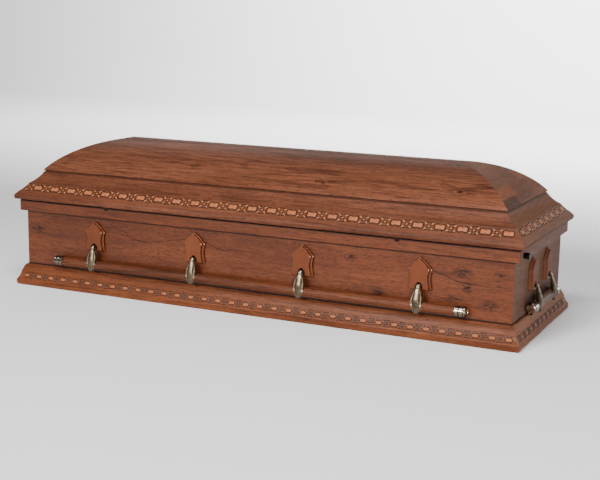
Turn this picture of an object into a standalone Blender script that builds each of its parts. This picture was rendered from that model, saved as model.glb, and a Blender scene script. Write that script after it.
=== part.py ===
"""Wooden coffin with a domed, mitred lid, two carved bands and swing-bar handles.

Lengths are in metres, +Z is up and the origin lies under the middle of the base.
X runs along the coffin, and its front is the -Y side.

Sections are given as (inset, height) points. An inset is measured inward from the
edge of the plan, which is the outermost line of the lid's lip.
"""

import math

import bmesh
import bpy
from mathutils import Matrix, Vector

# Plan at the lid's lip, and the gap kept between pieces that touch
LENGTH = 2.134
WIDTH = 0.727
GAP = 0.0003
MITRE_GAP = GAP / math.sqrt(2)

# Box: board faces, and the heights of its boards
WALL_FACE = 0.038
WALL_THICKNESS = 0.020
WALL_FOOT = 0.004
RIM_HEIGHT = 0.3540
FLOOR_HEIGHT = 0.028
FLOOR_THICKNESS = 0.018

# Rail round the top of the box
RAIL_FACE = 0.0174
RAIL_FOOT = 0.3097
RAIL_EASE = 0.0015

# Base moulding: plinth, slope and rounded top
PLINTH_FACE = 0.0015
PLINTH_HEIGHT = 0.0205
PLINTH_CHAMFER = 0.0040
BASE_SLOPE_TOP = (0.0265, 0.0785)
BASE_SHOULDER = (0.0300, 0.0825)
BASE_TOP = (0.0345, 0.0849)

# Lid moulding: lip, slope, cove and the groove under the dome
LIP_FOOT = (0.0174, 0.3546)
LIP_NOSE_DEPTH = 0.0050
LIP_NOSE_HEIGHT = 0.0103
LIP_NOSE_MIDDLE = 0.3682
LIP_NOSE_ANGLES = (-80, -40, 0, 30, 60)
COVE_FOOT = (0.0445, 0.4218)
COVE_TOP = (0.0885, 0.4672)
COVE_SAG = 0.0042
COVE_STEPS = 6
GROOVE_INSET = 0.0912
GROOVE_FLOOR = 0.4682
LID_MOULDING_TOP = 0.4712
LID_MOULDING_BACK = 0.1130
LID_MOULDING_WEB = (0.0600, 0.3950)
LID_MOULDING_WEB_TOP = 0.4520

# Dome: control points of its arc, as (distance in from its edge, height)
DOME_INSET = 0.0864
DOME_UNDERSIDE = 0.4715
DOME_ARC = ((0.0, 0.4745), (0.055, 0.5405), (0.157, 0.594), (0.277, 0.601))
DOME_HOLLOW_SHIFT = ((0.0235, -0.0030), (0.0155, -0.0090), (0.0030, -0.0178), (0.0, -0.0180))
DOME_EDGE_EASE = 0.0015
RIDGE_GAP = 0.00015
HIP_POINT_WIDTH = 0.0008
DOME_STEPS = 12
DOME_HOLLOW_STEPS = 9

# Carved bands: a sunk strip on each slope, with a row of oblong lozenges left standing in it.
# A row is its number of lozenges, their pitch and how far its middle lies from the side's middle.
BAND_SINK = 0.0016
LID_BAND = {"start": 0.36, "end": 0.95, "long": (25, 0.0821, 0.018), "short": (8, 0.0806, 0.0)}
LID_LOZENGE = (0.0360, 0.0185)
BASE_BAND = {"start": 0.11, "end": 0.56, "long": (35, 0.0602, 0.0045), "short": (11, 0.0600, 0.012)}
BASE_LOZENGE = (0.0250, 0.0120)

# Handle plates: half widths at shoulder, waist and foot, then the heights
PLATE_BACK_LAYER = {"shoulder": 0.0450, "waist": 0.0390, "foot": 0.0455, "apex": 0.1150, "thickness": 0.0090}
PLATE_FRONT_LAYER = {"shoulder": 0.0370, "waist": 0.0300, "foot": 0.0380, "apex": 0.1085, "thickness": 0.0180}
PLATE_FOOT = 0.1765
PLATE_SHOULDER = 0.0740
PLATE_SIDE_STATIONS = (0.3, 0.65, 1.0)
PLATE_ARCH_BULGE = 0.0035
PLATE_CORNER = 0.0040
SLOT_WIDTH = 0.0262
SLOT_HEIGHT = 0.0310
SLOT_ARCH_STEPS = 5

# Handle hinge and bar, as distances out from the box's face and heights
HINGE_OUT = 0.0200
HINGE_HEIGHT = 0.1905
BAR_OUT = 0.0245
BAR_HEIGHT = 0.1170
BAR_RADIUS = 0.0185
BAR_SEGMENTS = 16

# Metal cap, as (radius, distance from its inner end) from the middle of its outer end inwards
CAP_LENGTH = 0.0400
CAP_PROFILE = (
    (0.0, 0.0400),
    (0.0168, 0.0395),
    (0.0214, 0.0365),
    (0.0214, 0.0170),
    (0.0188, 0.0155),
    (0.0214, 0.0140),
    (0.0214, 0.0),
    (0.0, 0.0),
)
TURNED_STEPS = 12

# Handle arms: an eye that hangs on a pin, and a leaf in front of the bar
PIN_RADIUS = 0.0035
PIN_SEGMENTS = 6
EYE_MIDDLE = (0.0205, 0.1844)
EYE_RADII = (0.0125, 0.0175)
EYE_HOLE_RADII = (0.0052, 0.0088)
EYE_WIDTH = 0.0125
EYE_SEGMENTS = 12
EYE_HOLE_SEGMENTS = 8
LEAF_TOP = 0.1810
LEAF_TIP = 0.0955
LEAF_WIDTHS = {"top": 0.0150, "widest": 0.0400, "tip": 0.0185}
LEAF_FACE_WIDEST = 0.50
LEAF_BACK_WIDEST = 0.20
LEAF_BACK_SHARE = 0.95
LEAF_SPINE_SHARE = 0.50
LEAF_RIM_SHARE = 0.80
LEAF_ROUNDNESS = 0.75
LEAF_FRONT = ((0.0, 0.0330), (0.2, 0.0385), (0.45, 0.0462), (0.7, 0.0478), (1.0, 0.0440))
LEAF_BACK = ((0.0, 0.0262), (0.2, 0.0245), (0.4, 0.0262), (0.7, 0.0325), (1.0, 0.0350))
LEAF_STEPS = 6
SEAT_SEGMENTS = 14
SEAT_LENGTH = 0.1

# Where the handles go: the bar's half length and the places of its arms along it
LONG_HANDLE = {"half_length": 0.872, "arms": (-0.690, -0.230, 0.230, 0.690), "drop": 0.0}
SHORT_HANDLE = {"half_length": 0.178, "arms": (-0.1016, 0.1016), "drop": 0.005}

# Lid catches in the front rail, as (radius, distance out from the rail) and their oval sockets
CATCH_PLACES = (-0.629, 0.603)
CATCH_HEIGHT = 0.3475
CATCH_PROFILE = ((0.0, 0.0020), (0.0042, 0.0014), (0.0052, 0.0), (0.0052, -0.0067), (0.0, -0.0067))
SOCKET_HALF_WIDTH = 0.0120
SOCKET_HALF_HEIGHT = 0.0065
SOCKET_DEPTH = 0.0070
ROUND_SEGMENTS = 14

# Round plug in the rail of the right end: its place (Y, height), and its turned profile
PLUG_PLACE = (-0.2910, 0.3270)
PLUG_DEPTH = 0.0080
PLUG_RADIUS = 0.0115
PLUG_PROFILE = (
    (0.0, 0.0218),
    (0.0140, 0.0218),
    (0.0140, 0.0183),
    (PLUG_RADIUS, 0.0175),
    (PLUG_RADIUS, GAP - PLUG_DEPTH),
    (0.0, GAP - PLUG_DEPTH),
)

# Faces that meet at less than this angle are shaded as one curve
CREASE_ANGLE = math.radians(40)

# Sides of the coffin: name, turn about Z, half run along the side, half depth out to it
SIDES = (
    ("front", 0.0, LENGTH / 2, WIDTH / 2),
    ("right", math.pi / 2, WIDTH / 2, LENGTH / 2),
    ("back", math.pi, LENGTH / 2, WIDTH / 2),
    ("left", -math.pi / 2, WIDTH / 2, LENGTH / 2),
)

COLLECTION_NAME = "wooden_coffin"


def clear_scene():
    for obj in list(bpy.data.objects):
        bpy.data.objects.remove(obj, do_unlink=True)


def new_collection(name):
    collection = bpy.data.collections.new(name)
    bpy.context.scene.collection.children.link(collection)
    return collection


def new_material(name, colour, roughness, metallic=0.0):
    material = bpy.data.materials.new(name)
    material.use_nodes = True
    material.diffuse_color = (*colour, 1.0)
    shader = material.node_tree.nodes["Principled BSDF"]
    shader.inputs["Base Color"].default_value = (*colour, 1.0)
    shader.inputs["Roughness"].default_value = roughness
    shader.inputs["Metallic"].default_value = metallic
    return material


def mesh_from(name, bm):
    """A mesh of what bm holds, with its faces turned outward."""
    bmesh.ops.recalc_face_normals(bm, faces=bm.faces)
    mesh = bpy.data.meshes.new(name)
    bm.to_mesh(mesh)
    bm.free()
    return mesh


def add_object(name, mesh, collection, material=None):
    obj = bpy.data.objects.new(name, mesh)
    collection.objects.link(obj)
    if material and not mesh.materials:
        mesh.materials.append(material)
    return obj


def add_cutter(name, mesh, cutters):
    cutter = add_object(name, mesh, cutters)
    cutter.hide_render = True
    cutter.display_type = "WIRE"
    return cutter


def combine(obj, other, operation):
    """Cuts other from obj, or joins it, with a live Boolean modifier."""
    modifier = obj.modifiers.new(other.name, "BOOLEAN")
    modifier.operation = operation
    modifier.solver = "EXACT"
    modifier.object = other


def applied_mesh(obj, name):
    """The mesh of obj with its modifiers applied."""
    bpy.context.view_layer.update()
    graph = bpy.context.evaluated_depsgraph_get()
    mesh = bpy.data.meshes.new_from_object(obj.evaluated_get(graph))
    mesh.name = name
    return mesh


def shade_smooth(mesh):
    mesh.shade_smooth()
    mesh.set_sharp_from_angle(angle=CREASE_ANGLE)


def turned_mesh(name, profile):
    """The profile of a turned piece, as a chain of edges for a Screw modifier about Z."""
    mesh = bpy.data.meshes.new(name)
    points = [(radius, 0.0, height) for radius, height in profile]
    mesh.from_pydata(points, [(index, index + 1) for index in range(len(points) - 1)], [])
    return mesh


def turn_on_lathe(obj):
    """Turns the object's profile about its Z axis with a live Screw modifier."""
    modifier = obj.modifiers.new("lathe", "SCREW")
    modifier.axis = "Z"
    modifier.steps = TURNED_STEPS
    modifier.render_steps = TURNED_STEPS
    modifier.use_merge_vertices = True
    modifier.merge_threshold = 0.00001
    modifier.use_smooth_shade = True


def blend(start, end, share):
    return start + (end - start) * share


def point_between(start, end, share):
    return (blend(start[0], end[0], share), blend(start[1], end[1], share))


def arc_points(start, end, sag, steps):
    """Points of an arc from start to end that dips by sag towards the inside of the coffin."""
    run = Vector(end) - Vector(start)
    side = Vector((run.y, -run.x)).normalized()
    radius = (run.length_squared / 4 + sag * sag) / (2 * sag)
    half_angle = math.asin(run.length / (2 * radius))
    middle = (Vector(start) + Vector(end)) / 2 - side * (radius - sag)
    forward = run.normalized()
    points = []
    for step in range(steps + 1):
        angle = blend(-half_angle, half_angle, step / steps)
        points.append(tuple(middle + forward * radius * math.sin(angle) + side * radius * math.cos(angle)))
    return points


def bezier_points(controls, steps):
    """Points of the cubic curve through the first and last of four control points."""
    points = []
    for step in range(steps + 1):
        t = step / steps
        weights = ((1 - t) ** 3, 3 * t * (1 - t) ** 2, 3 * t * t * (1 - t), t**3)
        points.append(tuple(sum(w * c[axis] for w, c in zip(weights, controls)) for axis in (0, 1)))
    return points


def value_at(stations, share):
    """Reads a smooth curve through (share, value) stations."""
    last = len(stations) - 1
    index = min(i for i in range(last) if share <= stations[i + 1][0])
    low, high = stations[index], stations[index + 1]

    def slope_at(station):
        before, after = stations[max(station - 1, 0)], stations[min(station + 1, last)]
        return (after[1] - before[1]) / (after[0] - before[0])

    span = high[0] - low[0]
    t = (share - low[0]) / span
    rise = t * t * (3 - 2 * t)
    start_push = t * (1 - t) ** 2 * span * slope_at(index)
    end_push = t * t * (t - 1) * span * slope_at(index + 1)
    return blend(low[1], high[1], rise) + start_push + end_push


def sunk_strip(foot, top, band):
    """The four points of a strip that is sunk into the straight slope from foot to top."""
    slope = Vector(top) - Vector(foot)
    inward = Vector((slope.y, -slope.x)).normalized() * BAND_SINK
    low = Vector(point_between(foot, top, band["start"]))
    high = Vector(point_between(foot, top, band["end"]))
    return [tuple(low), tuple(low + inward), tuple(high + inward), tuple(high)]


def base_section():
    plinth_top = (PLINTH_FACE, PLINTH_HEIGHT)
    back = WALL_FACE - GAP
    return [
        (back, 0.0),
        (PLINTH_FACE + PLINTH_CHAMFER, 0.0),
        (PLINTH_FACE, PLINTH_CHAMFER),
        plinth_top,
        *sunk_strip(plinth_top, BASE_SLOPE_TOP, BASE_BAND),
        BASE_SLOPE_TOP,
        BASE_SHOULDER,
        BASE_TOP,
        (back, BASE_TOP[1]),
    ]


def lip_nose_point(degrees):
    """A point on the rounded nose of the lip."""
    angle = math.radians(degrees)
    inset = LIP_NOSE_DEPTH * (1 - math.cos(angle))
    return (inset, LIP_NOSE_MIDDLE + LIP_NOSE_HEIGHT * math.sin(angle))


def lip_slope_foot():
    """Where the rounded nose of the lip runs into the slope above it."""
    return lip_nose_point(LIP_NOSE_ANGLES[-1])


def lid_moulding_section():
    return [
        (WALL_FACE + WALL_THICKNESS, LIP_FOOT[1]),
        LIP_FOOT,
        *(lip_nose_point(degrees) for degrees in LIP_NOSE_ANGLES),
        *sunk_strip(lip_slope_foot(), COVE_FOOT, LID_BAND),
        *arc_points(COVE_FOOT, COVE_TOP, COVE_SAG, COVE_STEPS),
        (GROOVE_INSET, GROOVE_FLOOR),
        (GROOVE_INSET, LID_MOULDING_TOP),
        (LID_MOULDING_BACK, LID_MOULDING_TOP),
        (LID_MOULDING_BACK, LID_MOULDING_WEB_TOP),
        LID_MOULDING_WEB,
    ]


def rail_section():
    top = RIM_HEIGHT
    return [
        (WALL_FACE - GAP, RAIL_FOOT),
        (RAIL_FACE + RAIL_EASE, RAIL_FOOT),
        (RAIL_FACE, RAIL_FOOT + RAIL_EASE),
        (RAIL_FACE, top - 2 * RAIL_EASE),
        (RAIL_FACE + 2 * RAIL_EASE, top),
        (WALL_FACE - GAP, top),
    ]


def wall_section():
    back = WALL_FACE + WALL_THICKNESS
    return [(back, WALL_FOOT), (WALL_FACE, WALL_FOOT), (WALL_FACE, RIM_HEIGHT), (back, RIM_HEIGHT)]


def dome_section(crown_inset):
    """The dome's shell, cut off upright at crown_inset."""
    outer = bezier_points(DOME_ARC, DOME_STEPS)
    hollow_controls = [
        (point[0] + shift[0], point[1] + shift[1]) for point, shift in zip(DOME_ARC, DOME_HOLLOW_SHIFT)
    ]
    inner = bezier_points(hollow_controls, DOME_HOLLOW_STEPS)
    stretch = (crown_inset - DOME_INSET) / DOME_ARC[-1][0]
    outer = [(DOME_INSET + reach * stretch, height) for reach, height in outer]
    inner = [(DOME_INSET + reach * stretch, height) for reach, height in inner]
    edge = (DOME_INSET + DOME_EDGE_EASE, DOME_UNDERSIDE)
    return [edge, *outer, *reversed(inner)]


def mitred_length(name, section, side, collection, material):
    """One side's length of a section, with both ends cut at 45 degrees in plan."""
    _, turn, half_run, half_depth = side
    bm = bmesh.new()
    start = [
        bm.verts.new((-(half_run - inset - MITRE_GAP), -(half_depth - inset), height))
        for inset, height in section
    ]
    end_face = bm.faces.new(start)
    extruded = bmesh.ops.extrude_face_region(bm, geom=[end_face])
    for vert in extruded["geom"]:
        if isinstance(vert, bmesh.types.BMVert):
            vert.co.x = -vert.co.x
    obj = add_object(name, mesh_from(name, bm), collection, material)
    obj.rotation_euler.z = turn
    return obj


def lozenge_row(name, side, foot, top, band, lozenge, cutters):
    """A row of lozenge blocks that stand in the sunk strip of the slope from foot to top."""
    side_name, turn, _, half_depth = side
    count, pitch, shift = band["long" if side_name in ("front", "back") else "short"]
    inset, height = point_between(foot, top, (band["start"] + band["end"]) / 2)
    slope = Vector(top) - Vector(foot)
    tilt = math.atan2(slope.y, slope.x)
    depth = 2 * BAND_SINK
    bm = bmesh.new()
    for index in range(count):
        along = (index - (count - 1) / 2) * pitch + shift
        place = Matrix.Translation((along, -(half_depth - inset), height))
        turned = place @ Matrix.Rotation(tilt, 4, "X")
        shape = turned @ Matrix.Translation((0, 0, -depth / 2)) @ Matrix.Diagonal((*lozenge, depth, 1))
        bmesh.ops.create_cube(bm, size=1.0, matrix=shape)
    blocks = add_cutter(name, mesh_from(name, bm), cutters)
    blocks.rotation_euler.z = turn
    return blocks


def make_box(parts, wood):
    for side in SIDES:
        kind = "side" if side[0] in ("front", "back") else "end"
        mitred_length(f"box_{kind}_{side[0]}", wall_section(), side, parts, wood)
    inner = WALL_FACE + WALL_THICKNESS + GAP
    bm = bmesh.new()
    size = Matrix.Diagonal((LENGTH - 2 * inner, WIDTH - 2 * inner, FLOOR_THICKNESS, 1))
    middle = Matrix.Translation((0, 0, FLOOR_HEIGHT + FLOOR_THICKNESS / 2))
    bmesh.ops.create_cube(bm, size=1.0, matrix=middle @ size)
    add_object("box_bottom", mesh_from("box_bottom", bm), parts, wood)


def make_base(parts, cutters, wood):
    foot = (PLINTH_FACE, PLINTH_HEIGHT)
    for side in SIDES:
        moulding = mitred_length(f"base_moulding_{side[0]}", base_section(), side, parts, wood)
        row = lozenge_row(
            f"base_lozenges_{side[0]}", side, foot, BASE_SLOPE_TOP, BASE_BAND, BASE_LOZENGE, cutters
        )
        combine(moulding, row, "UNION")


def make_lid(parts, cutters, wood, dome_wood):
    foot = lip_slope_foot()
    for side in SIDES:
        moulding = mitred_length(f"lid_moulding_{side[0]}", lid_moulding_section(), side, parts, wood)
        row = lozenge_row(f"lid_lozenges_{side[0]}", side, foot, COVE_FOOT, LID_BAND, LID_LOZENGE, cutters)
        combine(moulding, row, "UNION")
        short = side[0] in ("left", "right")
        crown_inset = WIDTH / 2 - (HIP_POINT_WIDTH if short else RIDGE_GAP)
        dome = mitred_length(f"lid_dome_{side[0]}", dome_section(crown_inset), side, parts, dome_wood)
        shade_smooth(moulding.data)
        shade_smooth(dome.data)


def socket_cutter(place, cutters):
    """An oval socket in the front rail's upper edge."""
    bm = bmesh.new()
    half_sizes = Matrix.Diagonal((SOCKET_HALF_WIDTH, SOCKET_HALF_HEIGHT, 2 * SOCKET_DEPTH, 1))
    add_disc(bm, catch_frame(place) @ half_sizes)
    name = f"catch_socket_{'left' if place < 0 else 'right'}"
    return add_cutter(name, mesh_from(name, bm), cutters)


def catch_frame(place):
    """The frame at a catch's axis on the front rail's face, with Z pointing outward."""
    face = Matrix.Translation((place, -(WIDTH / 2 - RAIL_FACE), CATCH_HEIGHT))
    return face @ Matrix.Rotation(math.pi / 2, 4, "X")


def plug_frame():
    """The frame at the plug's axis on the face of the right end's rail, with Z pointing outward."""
    face = Matrix.Translation((LENGTH / 2 - RAIL_FACE, *PLUG_PLACE))
    return face @ Matrix.Rotation(math.pi / 2, 4, "Y")


def add_disc(bm, matrix):
    """Adds a unit disc: radius and length 1, stretched by matrix."""
    bmesh.ops.create_cone(
        bm, cap_ends=True, segments=ROUND_SEGMENTS, radius1=1, radius2=1, depth=1, matrix=matrix
    )


def plug_hole_cutter(cutters):
    """The round hole for the plug, near the front corner of the right end's rail."""
    bm = bmesh.new()
    radius = PLUG_RADIUS + 2 * GAP
    add_disc(bm, plug_frame() @ Matrix.Diagonal((radius, radius, 2 * PLUG_DEPTH, 1)))
    return add_cutter("plug_hole", mesh_from("plug_hole", bm), cutters)


def make_plug(parts, metal):
    """A round metal plug with a flange at its outer end."""
    plug = add_object("end_plug", turned_mesh("end_plug", PLUG_PROFILE), parts, metal)
    plug.matrix_world = plug_frame()
    turn_on_lathe(plug)


def make_rails(parts, cutters, wood):
    rails = {side[0]: mitred_length(f"rail_{side[0]}", rail_section(), side, parts, wood) for side in SIDES}
    for place in CATCH_PLACES:
        combine(rails["front"], socket_cutter(place, cutters), "DIFFERENCE")
    combine(rails["right"], plug_hole_cutter(cutters), "DIFFERENCE")


def make_catches(parts, metal):
    """Round studs that stand in the sockets of the front rail."""
    stud = turned_mesh("lid_catch", CATCH_PROFILE)
    for place in CATCH_PLACES:
        catch = add_object(f"catch_{'left' if place < 0 else 'right'}", stud, parts, metal)
        catch.matrix_world = catch_frame(place)
        turn_on_lathe(catch)


def slot_outline():
    """The slot's edge from its right foot over the arch to its left foot, as (along, up)."""
    radius = SLOT_WIDTH / 2
    spring = SLOT_HEIGHT - radius
    points = [(radius, 0.0)]
    for step in range(SLOT_ARCH_STEPS + 1):
        angle = math.pi * step / SLOT_ARCH_STEPS
        points.append((radius * math.cos(angle), spring + radius * math.sin(angle)))
    points.append((-radius, 0.0))
    return points


def plate_outline(layer):
    """One layer's outline, round from the slot's left foot to its right foot, as (along, up)."""
    foot, shoulder = layer["foot"], layer["shoulder"]
    sag = (layer["foot"] + layer["shoulder"]) / 2 - layer["waist"]
    left = [(-foot + PLATE_CORNER, 0.0), (-foot, PLATE_CORNER)]
    for share in PLATE_SIDE_STATIONS:
        width = blend(foot, shoulder, share) - sag * math.sin(math.pi * share)
        left.append((-width, blend(PLATE_CORNER, PLATE_SHOULDER, share)))
    rise = blend(PLATE_SHOULDER, layer["apex"], 0.5)
    left.append((-0.5 * shoulder, rise + PLATE_ARCH_BULGE))
    right = [(-along, up) for along, up in reversed(left)]
    return [*left, (0.0, layer["apex"]), *right, *slot_outline()]


def plate_mesh():
    """A shield-shaped plate in two layers, with a slot for the arm in its foot."""
    back, front = PLATE_BACK_LAYER, PLATE_FRONT_LAYER
    rings = (
        (plate_outline(back), GAP),
        (plate_outline(back), back["thickness"]),
        (plate_outline(front), back["thickness"]),
        (plate_outline(front), front["thickness"]),
    )
    bm = bmesh.new()
    loops = []
    for outline, out in rings:
        loops.append([bm.verts.new((along, -out, up)) for along, up in outline])
    bm.faces.new(loops[0])
    bm.faces.new(loops[-1])
    for before, after in zip(loops, loops[1:]):
        for index in range(len(before)):
            following = (index + 1) % len(before)
            if before[index].co == after[index].co and before[following].co == after[following].co:
                continue
            bm.faces.new((before[index], before[following], after[following], after[index]))
    bmesh.ops.remove_doubles(bm, verts=bm.verts, dist=1e-6)
    return mesh_from("handle_plate", bm)


def leaf_half_width(share, widest_at):
    """Half of the leaf's width, which swells to widest_at and then tapers to the tip."""
    widest, tip = LEAF_WIDTHS["widest"], LEAF_WIDTHS["tip"]
    if share < widest_at:
        swell = math.sin(math.pi / 2 * share / widest_at)
        return blend(LEAF_WIDTHS["top"], widest, swell) / 2
    past_widest = max(0.0, share - LEAF_FACE_WIDEST) / (1 - LEAF_FACE_WIDEST)
    taper = max(0.0, math.cos(math.pi / 2 * past_widest)) ** LEAF_ROUNDNESS
    return blend(tip, widest, taper) / 2


def leaf_mesh():
    """The arm's leaf: a raised spine between two sloping cheeks, on a broader back."""
    bm = bmesh.new()
    loops = []
    for step in range(LEAF_STEPS + 1):
        share = step / LEAF_STEPS
        height = blend(LEAF_TOP, LEAF_TIP, share) - HINGE_HEIGHT
        face_half = leaf_half_width(share, LEAF_FACE_WIDEST)
        back_half = LEAF_BACK_SHARE * leaf_half_width(share, LEAF_BACK_WIDEST)
        front = value_at(LEAF_FRONT, share) - HINGE_OUT
        back = value_at(LEAF_BACK, share) - HINGE_OUT
        rim = blend(back, front, LEAF_RIM_SHARE)
        spine_half = LEAF_SPINE_SHARE * face_half
        spine = (-spine_half, front), (spine_half, front)
        outline = ((-face_half, rim), *spine, (face_half, rim), (back_half, back), (-back_half, back))
        loops.append([bm.verts.new((along, -out, height)) for along, out in outline])
    bm.faces.new(loops[0])
    bm.faces.new(loops[-1])
    for before, after in zip(loops, loops[1:]):
        for index in range(len(before)):
            following = (index + 1) % len(before)
            bm.faces.new((before[index], before[following], after[following], after[index]))
    return mesh_from("arm_leaf", bm)


def upright_disc(name, middle, radii, width, segments):
    """An oval disc across the bar's direction, at middle given as (out, height) from the hinge."""
    out, height = middle
    bm = bmesh.new()
    place = Matrix.Translation((0, -out, height)) @ Matrix.Rotation(math.pi / 2, 4, "Y")
    shape = place @ Matrix.Diagonal((radii[1], radii[0], width, 1))
    bmesh.ops.create_cone(bm, cap_ends=True, segments=segments, radius1=1, radius2=1, depth=1, matrix=shape)
    return mesh_from(name, bm)


def arm_mesh(cutters):
    """The arm about its hinge: the leaf, joined to an eye and its pin, with a seat for the bar."""
    eye_middle = (EYE_MIDDLE[0] - HINGE_OUT, EYE_MIDDLE[1] - HINGE_HEIGHT)
    bar_middle = (BAR_OUT - HINGE_OUT, BAR_HEIGHT - HINGE_HEIGHT)
    seat_radius = (BAR_RADIUS + GAP) / math.cos(math.pi / SEAT_SEGMENTS)
    arm = add_cutter("arm_leaf", leaf_mesh(), cutters)
    ring = upright_disc("arm_eye", eye_middle, EYE_RADII, EYE_WIDTH, EYE_SEGMENTS)
    hole = upright_disc("arm_eye_hole", eye_middle, EYE_HOLE_RADII, 3 * EYE_WIDTH, EYE_HOLE_SEGMENTS)
    pin_length = SLOT_WIDTH - 4 * GAP
    pin = upright_disc("arm_pin", (0, 0), (PIN_RADIUS, PIN_RADIUS), pin_length, PIN_SEGMENTS)
    seat = upright_disc("bar_seat", bar_middle, (seat_radius, seat_radius), SEAT_LENGTH, SEAT_SEGMENTS)
    combine(arm, add_cutter("arm_eye", ring, cutters), "UNION")
    combine(arm, add_cutter("arm_eye_hole", hole, cutters), "DIFFERENCE")
    combine(arm, add_cutter("arm_pin", pin, cutters), "UNION")
    combine(arm, add_cutter("bar_seat", seat, cutters), "DIFFERENCE")
    return applied_mesh(arm, "handle_arm")


def bar_mesh(half_length):
    bm = bmesh.new()
    along = Matrix.Rotation(math.pi / 2, 4, "Y")
    bmesh.ops.create_cone(
        bm, cap_ends=True, segments=BAR_SEGMENTS, radius1=BAR_RADIUS, radius2=BAR_RADIUS,
        depth=2 * half_length, matrix=along,
    )
    mesh = mesh_from("handle_bar", bm)
    shade_smooth(mesh)
    return mesh


def make_handle(side, handle, meshes, parts, materials):
    """A swing-bar handle on its side: fixed plates, and a bar, arms and caps on a hinge empty."""
    name, turn, _, half_depth = side
    face = half_depth - WALL_FACE
    drop = handle["drop"]
    turned = Matrix.Rotation(turn, 4, "Z")
    hinge = bpy.data.objects.new(f"hinge_{name}", None)
    parts.objects.link(hinge)
    hinge.matrix_world = turned @ Matrix.Translation((0, -(face + HINGE_OUT), HINGE_HEIGHT - drop))
    bar_place = Matrix.Translation((0, HINGE_OUT - BAR_OUT, BAR_HEIGHT - HINGE_HEIGHT))

    def hang(piece_name, mesh, place, material):
        piece = add_object(piece_name, mesh, parts, material)
        piece.parent = hinge
        piece.matrix_basis = place
        return piece

    for number, along in enumerate(handle["arms"], start=1):
        plate = add_object(f"plate_{name}_{number}", meshes["plate"], parts, materials["plate_wood"])
        plate.matrix_world = turned @ Matrix.Translation((along, -face, PLATE_FOOT - drop))
        hang(f"arm_{name}_{number}", meshes["arm"], Matrix.Translation((along, 0, 0)), materials["metal"])
    bar_half = handle["half_length"] - CAP_LENGTH
    hang(f"bar_{name}", bar_mesh(bar_half), bar_place, materials["bar_wood"])
    cap_place = Matrix.Translation((bar_half + GAP, 0, 0)) @ Matrix.Rotation(math.pi / 2, 4, "Y")
    for number, half_turns in ((1, 0), (2, 1)):
        facing = Matrix.Rotation(half_turns * math.pi, 4, "Z")
        placed = bar_place @ facing @ cap_place
        turn_on_lathe(hang(f"bar_cap_{name}_{number}", meshes["cap"], placed, materials["metal"]))


def make_handles(parts, cutters, materials):
    meshes = {"plate": plate_mesh(), "arm": arm_mesh(cutters), "cap": turned_mesh("bar_cap", CAP_PROFILE)}
    shade_smooth(meshes["arm"])
    for side in SIDES:
        handle = LONG_HANDLE if side[0] in ("front", "back") else SHORT_HANDLE
        make_handle(side, handle, meshes, parts, materials)


def main():
    clear_scene()
    parts = new_collection(COLLECTION_NAME)
    cutters = new_collection("cutters")
    wood = new_material("stained_wood", (0.23, 0.085, 0.040), 0.38)
    dome_wood = new_material("dome_wood", (0.26, 0.100, 0.050), 0.32)
    materials = {
        "plate_wood": new_material("plate_wood", (0.27, 0.095, 0.042), 0.40),
        "bar_wood": new_material("bar_wood", (0.20, 0.075, 0.038), 0.35),
        "metal": new_material("antique_metal", (0.42, 0.38, 0.32), 0.30, 1.0),
    }
    make_box(parts, wood)
    make_base(parts, cutters, wood)
    make_rails(parts, cutters, wood)
    make_lid(parts, cutters, wood, dome_wood)
    make_catches(parts, materials["metal"])
    make_plug(parts, materials["metal"])
    make_handles(parts, cutters, materials)


main()
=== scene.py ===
"""Wooden coffin with carved mouldings, a domed lid and swing-bar handles, finished over its frame.

The file is laid out as a Blender add-on: one operator makes each group of pieces, and one the stage.
Lengths are in metres. X runs along the coffin, its front is the -Y side and +Z is up.
A section is a list of (inset, height) points, with the inset measured in from the lid's lip.
"""

import math

import bmesh
import bpy
from bpy.props import FloatProperty, FloatVectorProperty, IntProperty, PointerProperty
from mathutils import Matrix, Vector


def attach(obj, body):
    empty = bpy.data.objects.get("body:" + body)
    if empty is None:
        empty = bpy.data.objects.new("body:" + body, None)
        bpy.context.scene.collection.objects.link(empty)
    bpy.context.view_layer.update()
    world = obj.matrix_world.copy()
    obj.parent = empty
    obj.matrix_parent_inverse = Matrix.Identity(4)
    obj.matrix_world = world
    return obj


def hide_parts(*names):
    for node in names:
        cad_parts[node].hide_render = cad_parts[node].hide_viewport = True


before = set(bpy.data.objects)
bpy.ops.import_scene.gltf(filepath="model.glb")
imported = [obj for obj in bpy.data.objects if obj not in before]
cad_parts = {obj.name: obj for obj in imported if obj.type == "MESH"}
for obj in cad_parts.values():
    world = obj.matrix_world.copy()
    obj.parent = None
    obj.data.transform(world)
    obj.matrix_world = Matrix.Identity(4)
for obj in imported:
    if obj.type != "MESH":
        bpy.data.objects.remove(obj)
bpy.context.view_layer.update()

bl_info = {
    "name": "Wooden Coffin",
    "version": (1, 0, 0),
    "blender": (4, 5, 0),
    "location": "3D View > Sidebar > Coffin",
    "description": "Makes the finished pieces of a wooden coffin with carved bands and swing-bar handles",
    "category": "Object",
}

ROOT_BODY = "coffin"
SIDE_NAMES = ("front", "right", "back", "left")
TURNS = {"front": 0.0, "right": math.pi / 2, "back": math.pi, "left": -math.pi / 2}
LONG_SIDES = ("front", "back")

# Section of the base moulding
PLINTH_FOOT = (0.0055, 0.0)
PLINTH_BOTTOM = (0.0015, 0.0040)
PLINTH_TOP = (0.0015, 0.0205)
BASE_SLOPE_TOP = (0.0265, 0.0785)
BASE_SHOULDER = (0.0300, 0.0825)
BASE_TOP_INSET = 0.0345
BASE_TOP_HEIGHT = 0.0849

# Rail round the top of the box
RAIL_FACE = 0.0174
RAIL_FOOT = 0.3097

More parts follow.
